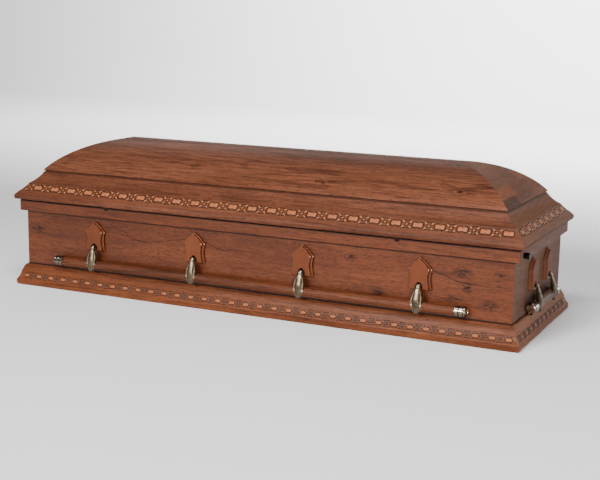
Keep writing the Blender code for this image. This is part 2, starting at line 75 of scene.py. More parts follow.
# Section of the lid moulding: lip, slope, cove and groove
LIP_BACK = (0.058, 0.3546)
LIP_FOOT = (0.0174, 0.3546)
NOSE_MIDDLE, NOSE_RADII = (0.0050, 0.3682), (0.0050, 0.0103)
NOSE_ANGLES = (-80.0, 60.0)
LIP_SLOPE_FOOT = (0.0025, 0.3771)
COVE_FOOT = (0.0445, 0.4218)
COVE_TOP = (0.0885, 0.4672)
COVE_SAG = 0.0042
GROOVE_INSET = 0.0912
LID_MOULDING_TOP = 0.4712
LID_MOULDING_BACK = 0.1130
LID_MOULDING_WEB = (0.0600, 0.3950)
LID_MOULDING_WEB_TOP = 0.4520

# Carved bands and scored lines, as shares of the slope that they are sunk into.
# A scored line's last number is its depth.
LID_BAND = (0.36, 0.95)
BASE_BAND = (0.11, 0.56)
LOWER_SCORE = (0.012, 0.055, 0.0016)
UPPER_SCORE = (0.600, 0.622, 0.0010)

# Section of the dome, as distances in from its edge and heights
DOME_INSET = 0.0864
DOME_FOOT = ((0.0042, 0.4715), (0.0014, 0.4718), (0.0002, 0.4730))
DOME_OUTSIDE = ((0.0, 0.4745), (0.055, 0.5405), (0.157, 0.594), (0.277, 0.601))
DOME_INSIDE = ((0.0235, 0.4715), (0.0705, 0.5315), (0.160, 0.5762), (0.277, 0.583))


def length(name, description, default):
    return FloatProperty(name=name, description=description, default=default, unit="LENGTH", precision=4)


def whole_number(name, description, default):
    return IntProperty(name=name, description=description, default=default)


def bearing(name, description, degrees):
    return FloatProperty(name=name, description=description, default=math.radians(degrees), subtype="ANGLE")


def colour(name, description, default):
    return FloatVectorProperty(
        name=name, description=description, default=default, subtype="COLOR", size=3, min=0.0, max=1.0
    )


class CoffinPlan(bpy.types.PropertyGroup):
    """Outside sizes, taken at the lid's lip."""

    length: length("Length", "Length over the lid's lip", 2.134)
    width: length("Width", "Width over the lid's lip", 0.727)
    board_inset: length("Board inset", "Distance from the lip in to the face of the boards", 0.038)
    mitre_gap: length("Mitre gap", "Half the gap left at a mitre, along the side", 0.0001)
    edge_easing: length("Edge easing", "Radius that eases the edges of the mouldings", 0.0012)


class CarvingSizes(bpy.types.PropertyGroup):
    """Rows of lozenges and seeds in the bands of the lid and the base."""

    sink: length("Sink", "Depth of the band's ground below the slope", 0.0016)
    lid_count: whole_number("Lid lozenges", "Lozenges on a long side of the lid", 25)
    lid_pitch: length("Lid pitch", "Distance between lozenges on the lid's long sides", 0.0821)
    lid_shift: length("Lid shift", "How far the lid's row lies from the middle", 0.018)
    lid_end_count: whole_number("Lid end lozenges", "Lozenges on an end of the lid", 8)
    lid_end_pitch: length("Lid end pitch", "Distance between lozenges on the lid's ends", 0.0806)
    lid_end_shift: length("Lid end shift", "How far the lid's end rows lie from the middle", 0.0)
    base_count: whole_number("Base lozenges", "Lozenges on a long side of the base", 35)
    base_pitch: length("Base pitch", "Distance between lozenges on the base's long sides", 0.0602)
    base_shift: length("Base shift", "How far the base's row lies from the middle", 0.0045)
    base_end_count: whole_number("Base end lozenges", "Lozenges on an end of the base", 11)
    base_end_pitch: length("Base end pitch", "Distance between lozenges on the base's ends", 0.0600)
    base_end_shift: length("Base end shift", "How far the base's end rows lie from the middle", 0.012)
    lid_lozenge_length: length("Lid lozenge length", "Length of a lozenge on the lid", 0.0360)
    lid_lozenge_height: length("Lid lozenge height", "Height of a lozenge on the lid", 0.0185)
    base_lozenge_length: length("Base lozenge length", "Length of a lozenge on the base", 0.0250)
    base_lozenge_height: length("Base lozenge height", "Height of a lozenge on the base", 0.0120)
    seed: whole_number("Seed", "Seed of the small differences between copies", 7)


class HandleSizes(bpy.types.PropertyGroup):
    """Plates, arms, bars and caps of the handles."""

    hinge_out: length("Hinge out", "Distance of the pins from the face of the boards", 0.0200)
    hinge_height: length("Hinge height", "Height of the pins on the long sides", 0.1905)
    plate_foot: length("Plate foot", "Height of the foot of a plate on the long sides", 0.1765)
    end_drop: length("End drop", "How much lower the handles of the ends hang", 0.005)
    bar_out: length("Bar out", "Distance of the bar's middle from the face of the boards", 0.0245)
    bar_height: length("Bar height", "Height of the bar's middle on the long sides", 0.1170)
    bar_radius: length("Bar radius", "Radius of the wooden bar", 0.0185)
    cap_radius: length("Cap radius", "Radius of the metal caps", 0.0214)
    cap_length: length("Cap length", "Length of a metal cap", 0.0400)
    long_half: length("Long half", "Half the length of a long handle with its caps", 0.872)
    long_pitch: length("Long pitch", "Distance between the arms of a long handle", 0.460)
    short_half: length("Short half", "Half the length of an end handle with its caps", 0.178)
    short_pitch: length("Short pitch", "Distance between the arms of an end handle", 0.2032)
    slot_width: length("Slot width", "Width of the slot in a plate", 0.0262)
    slot_height: length("Slot height", "Height of the slot in a plate", 0.0310)


class CoffinColours(bpy.types.PropertyGroup):
    """Colours of the finishes."""

    wood_dark: colour("Wood dark", "Dark figure lines of the stained wood", (0.013, 0.0038, 0.0020))
    wood_middle: colour("Wood middle", "Main tone of the stained wood", (0.104, 0.0256, 0.0083))
    wood_light: colour("Wood light", "Lighter streaks of the stained wood", (0.160, 0.0430, 0.0145))
    lid_dark: colour("Lid dark", "Dark figure lines of the lid", (0.012, 0.0048, 0.0032))
    lid_middle: colour("Lid middle", "Main tone of the lid", (0.102, 0.0325, 0.0160))
    lid_light: colour("Lid light", "Lighter streaks of the lid", (0.155, 0.0530, 0.0270))
    # The ends' tones are a greyer copy of the wood: painted sheen on the ends
    end_dark: colour("End dark", "Dark figure lines of the ends", (0.040, 0.0180, 0.0110))
    end_middle: colour("End middle", "Main tone of the ends", (0.146, 0.0770, 0.0560))
    end_light: colour("End light", "Lighter streaks of the ends", (0.182, 0.1010, 0.0760))
    plate_middle: colour("Plate middle", "Main tone of the plates", (0.113, 0.0285, 0.0094))
    plate_light: colour("Plate light", "Light streaks of the plates", (0.133, 0.0350, 0.0120))
    # Painted highlight along the plates' rounded edges
    plate_edge_highlight: colour("Plate edge", "Light edges of the plates", (0.700, 0.3700, 0.2400))
    lozenge: colour("Lozenge", "Inlaid lozenges of the lid", (0.350, 0.112, 0.043))
    base_lozenge: colour("Base lozenge", "Inlaid lozenges of the base", (0.300, 0.091, 0.031))
    seed: colour("Seed", "Pale seeds between the lid's lozenges", (0.430, 0.175, 0.072))
    base_seed: colour("Base seed", "Greyish seeds between the base's lozenges", (0.125, 0.078, 0.050))
    petal: colour("Petal", "Small reddish petals round a seed", (0.160, 0.042, 0.0145))
    # Carving ground: dark stain with painted shade in the grooves of the carving
    ground: colour("Ground", "Dark outlines of the carving", (0.016, 0.0052, 0.0026))
    metal: colour("Metal", "Antique metal of arms and studs", (0.130, 0.097, 0.062))
    bright_metal: colour("Bright metal", "Polished metal of the caps", (0.270, 0.225, 0.170))


class StageSettings(bpy.types.PropertyGroup):
    """Floor, lights and the camera."""

    camera_place: FloatVectorProperty(
        name="Camera place",
        description="Where the camera stands",
        default=(2.091, -4.296, 1.157),
        subtype="XYZ",
    )
    yaw: bearing("Yaw", "Turn of the camera", -25.29)
    pitch: bearing("Pitch", "Dip of the camera", 10.98)
    roll: bearing("Roll", "Roll of the camera", 1.01)
    lens: FloatProperty(
        name="Lens", description="Focal length in mm on a 36 mm sensor", default=72.67, unit="CAMERA"
    )
    floor_colour: colour("Floor", "Pale floor and backdrop", (0.93, 0.93, 0.93))


def half_sizes(plan, side):
    """(half the run along a side, distance from the middle out to its lip)."""
    if side in LONG_SIDES:
        return plan.length / 2, plan.width / 2
    return plan.width / 2, plan.length / 2


def blend(start, end, share):
    return start + (end - start) * share


def between(start, end, share):
    return (blend(start[0], end[0], share), blend(start[1], end[1], share))


def smooth_value(stations, share):
    """Reads a smooth curve through (share, value) stations."""
    last = len(stations) - 1
    index = min(i for i in range(last) if share <= stations[i + 1][0])
    low, high = stations[index], stations[index + 1]

    def slope_at(station):
        before, after = stations[max(station - 1, 0)], stations[min(station + 1, last)]
        return (after[1] - before[1]) / (after[0] - before[0])

    span = high[0] - low[0]
    t = (share - low[0]) / span
    start_push = t * (1 - t) ** 2 * span * slope_at(index)
    end_push = t * t * (t - 1) * span * slope_at(index + 1)
    return blend(low[1], high[1], t * t * (3 - 2 * t)) + start_push + end_push


def curve_points(controls, steps):
    """Points of the cubic curve with these four control points."""
    points = []
    for step in range(steps + 1):
        t = step / steps
        weights = ((1 - t) ** 3, 3 * t * (1 - t) ** 2, 3 * t * t * (1 - t), t**3)
        points.append(tuple(sum(w * c[axis] for w, c in zip(weights, controls)) for axis in (0, 1)))
    return points


def mirrored(points):
    """The same points on the other side of the middle, in reverse order."""
    return [(-across, other) for across, other in reversed(points)]


def round_steps(count):
    """(cosine, sine) of even steps round a full turn."""
    turns = [2 * math.pi * step / count for step in range(count)]
    return [(math.cos(turn), math.sin(turn)) for turn in turns]


def sagging_arc(start, end, sag, steps):
    """Points of an arc that dips by sag towards the inside of the coffin."""
    run = Vector(end) - Vector(start)
    side = Vector((run.y, -run.x)).normalized()
    radius = (run.length_squared / 4 + sag * sag) / (2 * sag)
    half_angle = math.asin(run.length / (2 * radius))
    middle = (Vector(start) + Vector(end)) / 2 - side * (radius - sag)
    forward = run.normalized()
    points = []
    for step in range(steps + 1):
        angle = blend(-half_angle, half_angle, step / steps)
        points.append(tuple(middle + forward * radius * math.sin(angle) + side * radius * math.cos(angle)))
    return points


def eased_outline(corners, radius, steps=3):
    """Rounds the sharp corners of a closed outline. Gives (point, share) with 1 on the rounded parts, which
    the wood draws lighter.
    """
    points = []
    count = len(corners)
    for index in range(count):
        corner = Vector(corners[index])
        before = Vector(corners[index - 1]) - corner
        after = Vector(corners[(index + 1) % count]) - corner
        opening = before.angle(after)
        if opening > math.radians(155):
            points.append((tuple(corner), 0.0))
            continue
        back = min(radius / math.tan(opening / 2), before.length * 0.45, after.length * 0.45)
        start = corner + before.normalized() * back
        end = corner + after.normalized() * back
        for step in range(steps + 1):
            t = step / steps
            point = start * (1 - t) ** 2 + corner * 2 * t * (1 - t) + end * t * t
            points.append((tuple(point), 1.0))
    return points


def shade(mesh, crease):
    """Shades a mesh smooth, but for edges that are sharper than crease degrees."""
    mesh.shade_smooth()
    mesh.set_sharp_from_angle(angle=math.radians(crease))


def new_mesh(name, bm, surfaces):
    """A mesh of what bm holds, with these surfaces."""
    mesh = bpy.data.meshes.new(name)
    bm.to_mesh(mesh)
    bm.free()
    for surface in surfaces:
        mesh.materials.append(surface)
    return mesh


def new_object(name, data):
    """An object in the scene with this mesh, light or camera."""
    made = bpy.data.objects.new(name, data)
    bpy.context.scene.collection.objects.link(made)
    return made


def finish_piece(name, bm, surfaces=(), crease=32.0):
    """An object with its faces turned outward and its round parts shaded smooth."""
    bmesh.ops.remove_doubles(bm, verts=bm.verts, dist=1e-6)
    bmesh.ops.recalc_face_normals(bm, faces=bm.faces)
    mesh = new_mesh(name, bm, surfaces)
    shade(mesh, crease)
    return new_object(name, mesh)


def declare(piece, body, slot, *nodes):
    """Ties a piece to its body, and hides the solids that it stands for. Its slot is not used."""
    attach(piece, body)
    if nodes:
        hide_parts(*nodes)


def vert_layer(bm, name):
    """The layer that holds one number at each vert under this name."""
    return bm.verts.layers.float.get(name) or bm.verts.layers.float.new(name)


def join_rings(bm, rings, ends=True):
    """Skins a row of rings of verts, and closes both of its ends if asked."""
    if ends:
        bm.faces.new(rings[0])
        bm.faces.new(rings[-1])
    for before, after in zip(rings, rings[1:]):
        for corners in zip(before, before[1:] + before[:1], after[1:] + after[:1], after):
            bm.faces.new(corners)


def sweep_side(bm, outline, plan, side):
    """Adds one side's length of a closed section, with ends cut at 45 degrees in plan."""
    half_run, half_depth = half_sizes(plan, side)
    turn = Matrix.Rotation(TURNS[side], 3, "Z")
    wear = vert_layer(bm, "wear")
    rings = []
    for end in (-1, 1):
        ring = []
        for (inset, height), wear_and_light in outline:
            reach = half_run - inset - plan.mitre_gap
            vert = bm.verts.new(turn @ Vector((end * reach, inset - half_depth, height)))
            vert[wear] = wear_and_light
            ring.append(vert)
        rings.append(ring)
    join_rings(bm, rings)


def turned_solid(bm, profile, matrix, segments=48):
    """Adds a solid turned about the X axis of matrix, from (reach, radius) points."""
    points = [bm.verts.new((reach, 0.0, radius)) for reach, radius in profile]
    edges = [bm.edges.new(pair) for pair in zip(points, points[1:])]
    spin = {"cent": (0, 0, 0), "axis": (1, 0, 0), "angle": 2 * math.pi, "steps": segments}
    bmesh.ops.spin(bm, geom=points + edges, use_merge=True, **spin)
    bmesh.ops.transform(bm, matrix=matrix, verts=bm.verts)


def tinted(tone, tint):
    """A colour multiplied by another one."""
    return tuple(channel * share for channel, share in zip(tone, tint))


def scaled(tone, share):
    return tinted(tone, (share, share, share))


def node(tree, kind, inputs=None, **settings):
    """Adds a node. An input's value may be a number, a colour or another node's socket."""
    made = tree.nodes.new(kind)
    for key, value in settings.items():
        setattr(made, key, value)
    for key, value in (inputs or {}).items():
        if isinstance(value, bpy.types.NodeSocket):
            tree.links.new(value, made.inputs[key])
        else:
            made.inputs[key].default_value = value
    return made


def calc(tree, operation, first, second=0.0, third=0.0):
    """A Math node's result."""
    return node(tree, "ShaderNodeMath", {0: first, 1: second, 2: third}, operation=operation).outputs[0]


def vector_calc(tree, operation, first, second):
    """A Vector Math node's result."""
    key = "Scale" if operation == "SCALE" else 1
    result = "Value" if operation == "DISTANCE" else 0
    return node(tree, "ShaderNodeVectorMath", {0: first, key: second}, operation=operation).outputs[result]


def vector(tree, x=0.0, y=0.0, z=0.0):
    return node(tree, "ShaderNodeCombineXYZ", {"X": x, "Y": y, "Z": z}).outputs[0]


def parts_of(tree, place):
    return node(tree, "ShaderNodeSeparateXYZ", {"Vector": place}).outputs


def ramp(tree, factor, low, high):
    """A factor that rises from 0 at low to 1 at high."""
    made = node(tree, "ShaderNodeValToRGB", {"Fac": factor})
    black, white = made.color_ramp.elements
    black.position, white.position = low, high
    return made.outputs["Color"]


def nearness(tree, distance, reach):
    """1 at no distance, falling to 0 at this reach."""
    return calc(tree, "MAXIMUM", calc(tree, "SUBTRACT", 1.0, calc(tree, "DIVIDE", distance, reach)), 0.0)


def mixed(tree, factor, first, second, mode="MIX"):
    """A Mix Color node's result."""
    made = node(tree, "ShaderNodeMix", data_type="RGBA", blend_type=mode)
    for index, value in ((0, factor), (6, first), (7, second)):
        if isinstance(value, bpy.types.NodeSocket):
            tree.links.new(value, made.inputs[index])
        elif index:
            made.inputs[index].default_value = (*value[:3], 1.0)
        else:
            made.inputs[index].default_value = value
    return made.outputs[2]


def new_surface(name):
    """(material, node tree, its Principled shader, Object coordinates)."""
    surface = bpy.data.materials.new(name)
    surface.use_nodes = True
    tree = surface.node_tree
    return surface, tree, tree.nodes["Principled BSDF"], node(tree, "ShaderNodeTexCoord").outputs["Object"]


SHADER_SOCKETS = {
    "level": "Specular IOR Level",
    "coat": "Coat Weight",
    "coat_roughness": "Coat Roughness",
    "metallic": "Metallic",
}


def dress(tree, shader, tone, roughness, relief, **values):
    """Links a shader's colour, roughness and (height, strength, distance) of relief; sets plain values."""
    height, strength, distance = relief
    bump = node(tree, "ShaderNodeBump", {"Height": height, "Strength": strength, "Distance": distance})
    tree.links.new(tone, shader.inputs["Base Color"])
    tree.links.new(roughness, shader.inputs["Roughness"])
    tree.links.new(bump.outputs[0], shader.inputs["Normal"])
    for key, value in values.items():
        shader.inputs[SHADER_SOCKETS[key]].default_value = value


def attribute(tree, name):
    return node(tree, "ShaderNodeAttribute", attribute_name=name).outputs["Fac"]


def noise(tree, place, scale, detail=2.0, roughness=0.5, distortion=0.0):
    look = {"Scale": scale, "Detail": detail, "Roughness": roughness, "Distortion": distortion}
    return node(tree, "ShaderNodeTexNoise", {"Vector": place, **look}).outputs["Fac"]


def stretched(tree, place, along, squeeze, shift=(0.0, 0.0, 0.0)):
    """Coordinates that are drawn out along the grain."""
    scale = [squeeze if axis == along else 1.0 for axis in "XYZ"]
    return node(tree, "ShaderNodeMapping", {"Vector": place, "Location": shift, "Scale": scale}).outputs[0]


def shaken(tree, place, source, scale, detail, amount):
    """Coordinates pushed about by a smooth noise that is read at source."""
    waves = node(tree, "ShaderNodeTexNoise", {"Vector": source, "Scale": scale, "Detail": detail})
    push = vector_calc(tree, "SUBTRACT", waves.outputs["Color"], (0.5, 0.5, 0.5))
    return vector_calc(tree, "ADD", place, vector_calc(tree, "SCALE", push, amount))


def stained_wood(
    name, tones, along, figure=1.0, fleck=0.40, gloss=0.34, coat=0.04, level=0.20,
    shift=(0.0, 0.0, 0.0), staves=None, marks=None, edge=None, corners=(),
):
    """Stained and varnished wood with bent figure lines, streaks, fibres and pores along one axis. Inner
    corners get painted shade; a number at each vert draws edges lighter where it is above 0, as wearing and
    painted highlight, and darker where it is below 0, as painted shade.
    """
    dark, middle, light = tones
    deepest = scaled(dark, 0.45)
    surface, tree, shader, place = new_surface(name)
    bent = shaken(tree, place, stretched(tree, place, along, 0.35), 7.0, 1.0, 0.030)

    def grain(low, high, squeeze, *look, shift=shift):
        """Noise drawn out along the grain and cut to 0 below low and to 1 above high."""
        return ramp(tree, noise(tree, stretched(tree, bent, along, squeeze, shift), *look), low, high)

    contour = noise(tree, stretched(tree, bent, along, 0.10, shift), 6.0, 1.5, 0.45, 0.2)
    lines = ramp(tree, calc(tree, "SINE", calc(tree, "MULTIPLY", contour, 110.0)), 0.45, 0.95)
    fading = grain(0.47, 0.60, 0.10, 8.0, 2.0)
    fibres = grain(0.38, 0.62, 0.05, 260.0, 3.0, 0.7)
    pores = grain(0.60, 0.70, 0.07, 620.0, 1.0, shift=(0.0, 0.0, 0.0))
    tone = mixed(tree, grain(0.38, 0.62, 0.10, 9.0, 4.0, 0.6), middle, light)
    for mask, share in (
        (grain(0.46, 0.66, 0.30, 6.0, 3.0), 0.22),
        (calc(tree, "MULTIPLY", lines, fading), 0.50 * figure),
        (grain(0.54, 0.61, 0.06, 78.0, 4.0, 0.68, 0.2), 0.46 * figure),
        (grain(0.53, 0.62, 0.05, 150.0, 2.0, 0.6), 0.50 * figure),
        (grain(0.54, 0.61, 0.20, 270.0, 3.0, 0.70), fleck),
        (fibres, 0.6 * fleck),
        (pores, 0.8 * fleck),
    ):
        tone = mixed(tree, calc(tree, "MULTIPLY", mask, share), tone, dark)
    if marks:
        tone = mixed(tree, marks(tree, place), tone, deepest)
    # Painted shade in the inner corners
    if corners:
        tone = mixed(tree, painted_corner_shade(tree, place, corners), tone, deepest)
    if staves:
        tone = mixed(tree, 1.0, tone, staves(tree, place), "MULTIPLY")
    # A number at each vert: above 0 it draws wearing and painted highlight, below 0 painted shade
    wear_and_light = attribute(tree, "wear")
    tone = mixed(tree, calc(tree, "MULTIPLY", wear_and_light, 0.85 if edge else 0.35), tone, edge or light)
    tone = mixed(tree, calc(tree, "MULTIPLY", wear_and_light, -1.0), tone, dark)
    sheen = calc(tree, "MULTIPLY_ADD", fibres, 0.12, gloss - 0.06)
    roughness = calc(tree, "MULTIPLY_ADD", wear_and_light, -0.10, sheen)
    relief = (calc(tree, "MULTIPLY_ADD", pores, -0.6, fibres), 0.10, 0.0006)
    dress(tree, shader, tone, roughness, relief, level=level, coat=coat, coat_roughness=0.10)
    return surface


# The front board's vein as (along, height), and how dark it is as (along, strength), within this span
VEIN_SPAN = (-1.06, 1.06)
VEIN_RISE = 0.4
VEIN_WIDTH = 0.0030
VEIN = (
    (-1.03, 0.250), (-0.87, 0.215), (-0.70, 0.262), (-0.585, 0.271), (-0.552, 0.258), (-0.506, 0.234),
    (-0.45, 0.231), (-0.367, 0.242), (-0.272, 0.257), (-0.183, 0.254), (-0.122, 0.233), (-0.035, 0.238),
    (0.20, 0.222), (0.45, 0.235), (0.66, 0.252), (0.736, 0.246), (0.788, 0.230), (0.836, 0.216),
    (0.891, 0.213), (1.03, 0.214),
)
VEIN_STRENGTH = (
    (-1.05, 0.6), (-0.90, 0.5), (-0.70, 0.1), (-0.59, 0.9), (-0.27, 0.7), (-0.12, 0.9), (0.02, 0.3),
    (0.40, 0.0), (0.70, 0.3), (0.76, 1.0), (0.95, 0.6), (1.05, 0.3),
)

# Knots, as (place, radius), and how far they are drawn out on each axis, as a share
KNOTS = (
    ((0.418, 0.0, 0.263), 0.020),
    ((0.846, 0.0, 0.251), 0.028),
    ((0.863, 0.0, 0.199), 0.023),
    ((0.978, 0.0, 0.251), 0.020),
    ((0.941, 0.0, 0.141), 0.026),
    ((0.531, 0.0, 0.142), 0.024),
    ((-0.978, 0.0, 0.237), 0.030),
    ((0.820, 0.0, 0.155), 0.022),
)
KNOT_FLATTEN = (0.6, 0.0, 1.0)
DOME_KNOTS = (
    ((0.890, -0.197, 0.542), 0.013),
    ((0.795, -0.230, 0.520), 0.019),
    ((0.735, -0.062, 0.592), 0.020),
    ((-0.300, -0.210, 0.535), 0.014),
    ((0.260, -0.236, 0.515), 0.012),
)
DOME_KNOT_FLATTEN = (0.24, 1.0, 1.0)


def path_value(tree, along, points, rise):
    """Reads a smooth path at a place along the board, from (along, value) points."""
    low, high = VEIN_SPAN
    share = calc(tree, "DIVIDE", calc(tree, "SUBTRACT", along, low), high - low)
    made = node(tree, "ShaderNodeFloatCurve", {"Value": share})
    curve = made.mapping.curves[0]
    for place, value in points[1:-1]:
        curve.points.new((place - low) / (high - low), value / rise)
    for point, (place, value) in ((curve.points[0], points[0]), (curve.points[-1], points[-1])):
        point.location = ((place - low) / (high - low), value / rise)
    made.mapping.update()
    return calc(tree, "MULTIPLY", made.outputs[0], rise)


def painted_corner_shade(tree, place, corners):
    """Darkness of the painted shade in inner corners, given as (height, reach)."""
    height = parts_of(tree, place)["Z"]
    total = 0.0
    for corner, reach in corners:
        away = calc(tree, "ABSOLUTE", calc(tree, "SUBTRACT", height, corner))
        total = calc(tree, "MAXIMUM", total, nearness(tree, away, reach))
    return calc(tree, "MINIMUM", calc(tree, "MULTIPLY", total, 1.8), 0.95)


def knot_marks(tree, place, knots, flatten, total):
    """Adds blotchy dark knots to the darkness so far."""
    flat = vector_calc(tree, "MULTIPLY", place, flatten)
    blotch = ramp(tree, noise(tree, stretched(tree, place, "X", 0.3), 130.0, 3.0, 0.65), 0.42, 0.58)
    darkness = calc(tree, "MULTIPLY", blotch, 1.3)
    for middle, radius in knots:
        away = vector_calc(tree, "DISTANCE", flat, tinted(middle, flatten))
        total = calc(tree, "MULTIPLY_ADD", nearness(tree, away, radius), darkness, total)
    return total


def board_marks(tree, place):
    """Darkness of one long vein and a few blotchy knots on the front board."""
    bent = shaken(tree, place, place, 38.0, 3.0, 0.016)
    parts = parts_of(tree, bent)
    height = path_value(tree, parts["X"], VEIN, VEIN_RISE)
    away = calc(tree, "ABSOLUTE", calc(tree, "SUBTRACT", parts["Z"], height))
    strength = path_value(tree, parts["X"], VEIN_STRENGTH, 1.0)
    vein = calc(tree, "MULTIPLY", nearness(tree, away, VEIN_WIDTH), strength)
    return calc(tree, "MINIMUM", knot_marks(tree, bent, KNOTS, KNOT_FLATTEN, vein), 0.92)


def dome_marks(tree, place):
    """Darkness of the long knots on the dome."""
    bent = shaken(tree, place, place, 26.0, 3.0, 0.020)
    return calc(tree, "MINIMUM", knot_marks(tree, bent, DOME_KNOTS, DOME_KNOT_FLATTEN, 0.0), 0.9)


def carved_finish(name, tone, depth, gloss=0.45, coat=0.0):
    """Carved wood of one tone, with a grain of its own and a little dirt in it, and painted shade on the
    copies in the ends' rows.
    """
    surface, tree, shader, place = new_surface(name)
    grain = noise(tree, stretched(tree, place, "X", 0.2), 420.0, 3.0, 0.6)
    patches = calc(tree, "MULTIPLY", noise(tree, place, 30.0, 2.0), 0.5)
    share = calc(tree, "MULTIPLY_ADD", grain, 0.5, patches)
    chance = attribute(tree, "tone")
    deep, end_shade_tone = scaled(tone, depth), tinted(tone, (0.58, 0.56, 0.54))
    plain = mixed(tree, ramp(tree, share, 0.35, 0.65), deep, tone)
    varied = mixed(tree, calc(tree, "MULTIPLY", calc(tree, "FRACT", chance), 0.55), plain, deep)
    # Copies in the ends' rows are darkened as painted shade
    in_end_shade_row = calc(tree, "MULTIPLY", calc(tree, "GREATER_THAN", chance, 1.0), 0.8)
    with_end_shade = mixed(tree, in_end_shade_row, varied, end_shade_tone)
    roughness = calc(tree, "MULTIPLY_ADD", grain, 0.2, gloss - 0.1)
    dress(tree, shader, with_end_shade, roughness, (grain, 0.12, 0.0005), level=0.15, coat=coat, coat_roughness=0.12)
    return surface


def antique_metal(name, tone, dark_share, gloss):
    """Brushed antique metal with patina; darker by the hollow number, which is patina in the caps' grooves
    and painted shade on their tops and bottoms, and lighter by the edge number, which is wearing and painted
    highlight.
    """
    surface, tree, shader, place = new_surface(name)
    brushing = noise(tree, stretched(tree, place, "Z", 0.08), 900.0, 2.0, 0.6)
    patina = noise(tree, place, 85.0, 3.0, 0.55)
    deep, bright = scaled(tone, 0.35), tuple(min(1.0, channel) for channel in scaled(tone, 2.4))
    plain = mixed(tree, ramp(tree, patina, dark_share - 0.14, dark_share + 0.14), deep, tone)
    brushed = mixed(tree, calc(tree, "MULTIPLY", brushing, 0.25), plain, deep)
    worn_and_highlit = mixed(tree, calc(tree, "MULTIPLY", attribute(tree, "wear"), 0.85), brushed, bright)
    patina_and_shade = mixed(tree, attribute(tree, "hollow"), worn_and_highlit, (0.016, 0.010, 0.006))
    roughness = calc(tree, "MULTIPLY_ADD", patina, -0.18, gloss + 0.12)
    dress(tree, shader, patina_and_shade, roughness, (brushing, 0.08, 0.0003), metallic=1.0)
    return surface


# The staves of the dome's ends: |x| of the edges of their rows from outside in, then for each row
# the tone of its first piece and (y where the next piece starts, its tone). Their greyish tones are partly
# the staves' own and partly painted sheen.
STAVE_EDGES = (0.990, 0.953, 0.914, 0.868, 0.810, 0.740, 0.680)
STAVES = (
    ((0.46, 0.49, 0.52), (-0.105, (0.66, 0.66, 0.68)), (0.120, (0.80, 0.76, 0.76))),
    ((1.06, 0.86, 0.72), (-0.060, (0.68, 0.70, 0.73)), (0.150, (0.84, 0.78, 0.76))),
    ((0.70, 0.74, 0.78), (-0.020, (0.62, 0.65, 0.68)), (0.100, (0.88, 0.82, 0.79))),
    ((0.80, 0.82, 0.84), (0.010, (0.70, 0.73, 0.76))),
    ((0.76, 0.80, 0.84), (-0.010, (0.86, 0.84, 0.84))),
    ((0.82, 0.84, 0.88),),
)
STAVE_REST = (0.78, 0.80, 0.84)


def end_staves(tree, place):
    """Slightly different tones for the staves that the dome's ends are glued up from, greyish in part as
    painted sheen.
    """
    jitter = calc(tree, "MULTIPLY", calc(tree, "SUBTRACT", noise(tree, place, 60.0, 2.0), 0.5), 0.004)
    parts = parts_of(tree, place)
    outward = calc(tree, "ADD", calc(tree, "ABSOLUTE", parts["X"]), jitter)
    across = calc(tree, "ADD", parts["Y"], jitter)
    result = STAVE_REST
    for outer, inner, (row_tone, *others) in zip(STAVE_EDGES, STAVE_EDGES[1:], STAVES):
        for start, tone in others:
            row_tone = mixed(tree, calc(tree, "GREATER_THAN", across, start), row_tone, tone)
        within = (calc(tree, "LESS_THAN", outward, outer), calc(tree, "GREATER_THAN", outward, inner))
        result = mixed(tree, calc(tree, "MULTIPLY", *within), result, row_tone)
    return result


# Inner corners that get painted shade, as (height, reach)
BOARD_CORNERS = ((RAIL_FOOT, 0.0095), (BASE_TOP_HEIGHT, 0.0080))
RAIL_CORNERS = ((LIP_FOOT[1], 0.0090),)
LID_CORNERS = ((COVE_TOP[1] + 0.0015, 0.0060),)
DOME_CORNERS = ((LID_MOULDING_TOP, 0.0028),)

END_LOOK = {"fleck": 0.22, "coat": 0.0, "level": 0.012, "gloss": 0.42}
END_SHIFT = (1.1, 2.4, 0.2)
PLATE_LOOK = {"figure": 0.0, "fleck": 0.12, "coat": 0.06, "level": 0.14}
# End plates: a greyer copy of the plates' wood as painted sheen, with painted orange glints on their edges
END_PLATE_LOOK = {**END_LOOK, "figure": 0.0, "edge": (0.500, 0.180, 0.080)}
END_PLATE_TONES = ((0.145, 0.037, 0.012), (0.145, 0.074, 0.052), (0.165, 0.086, 0.062))
FINISHES = {}


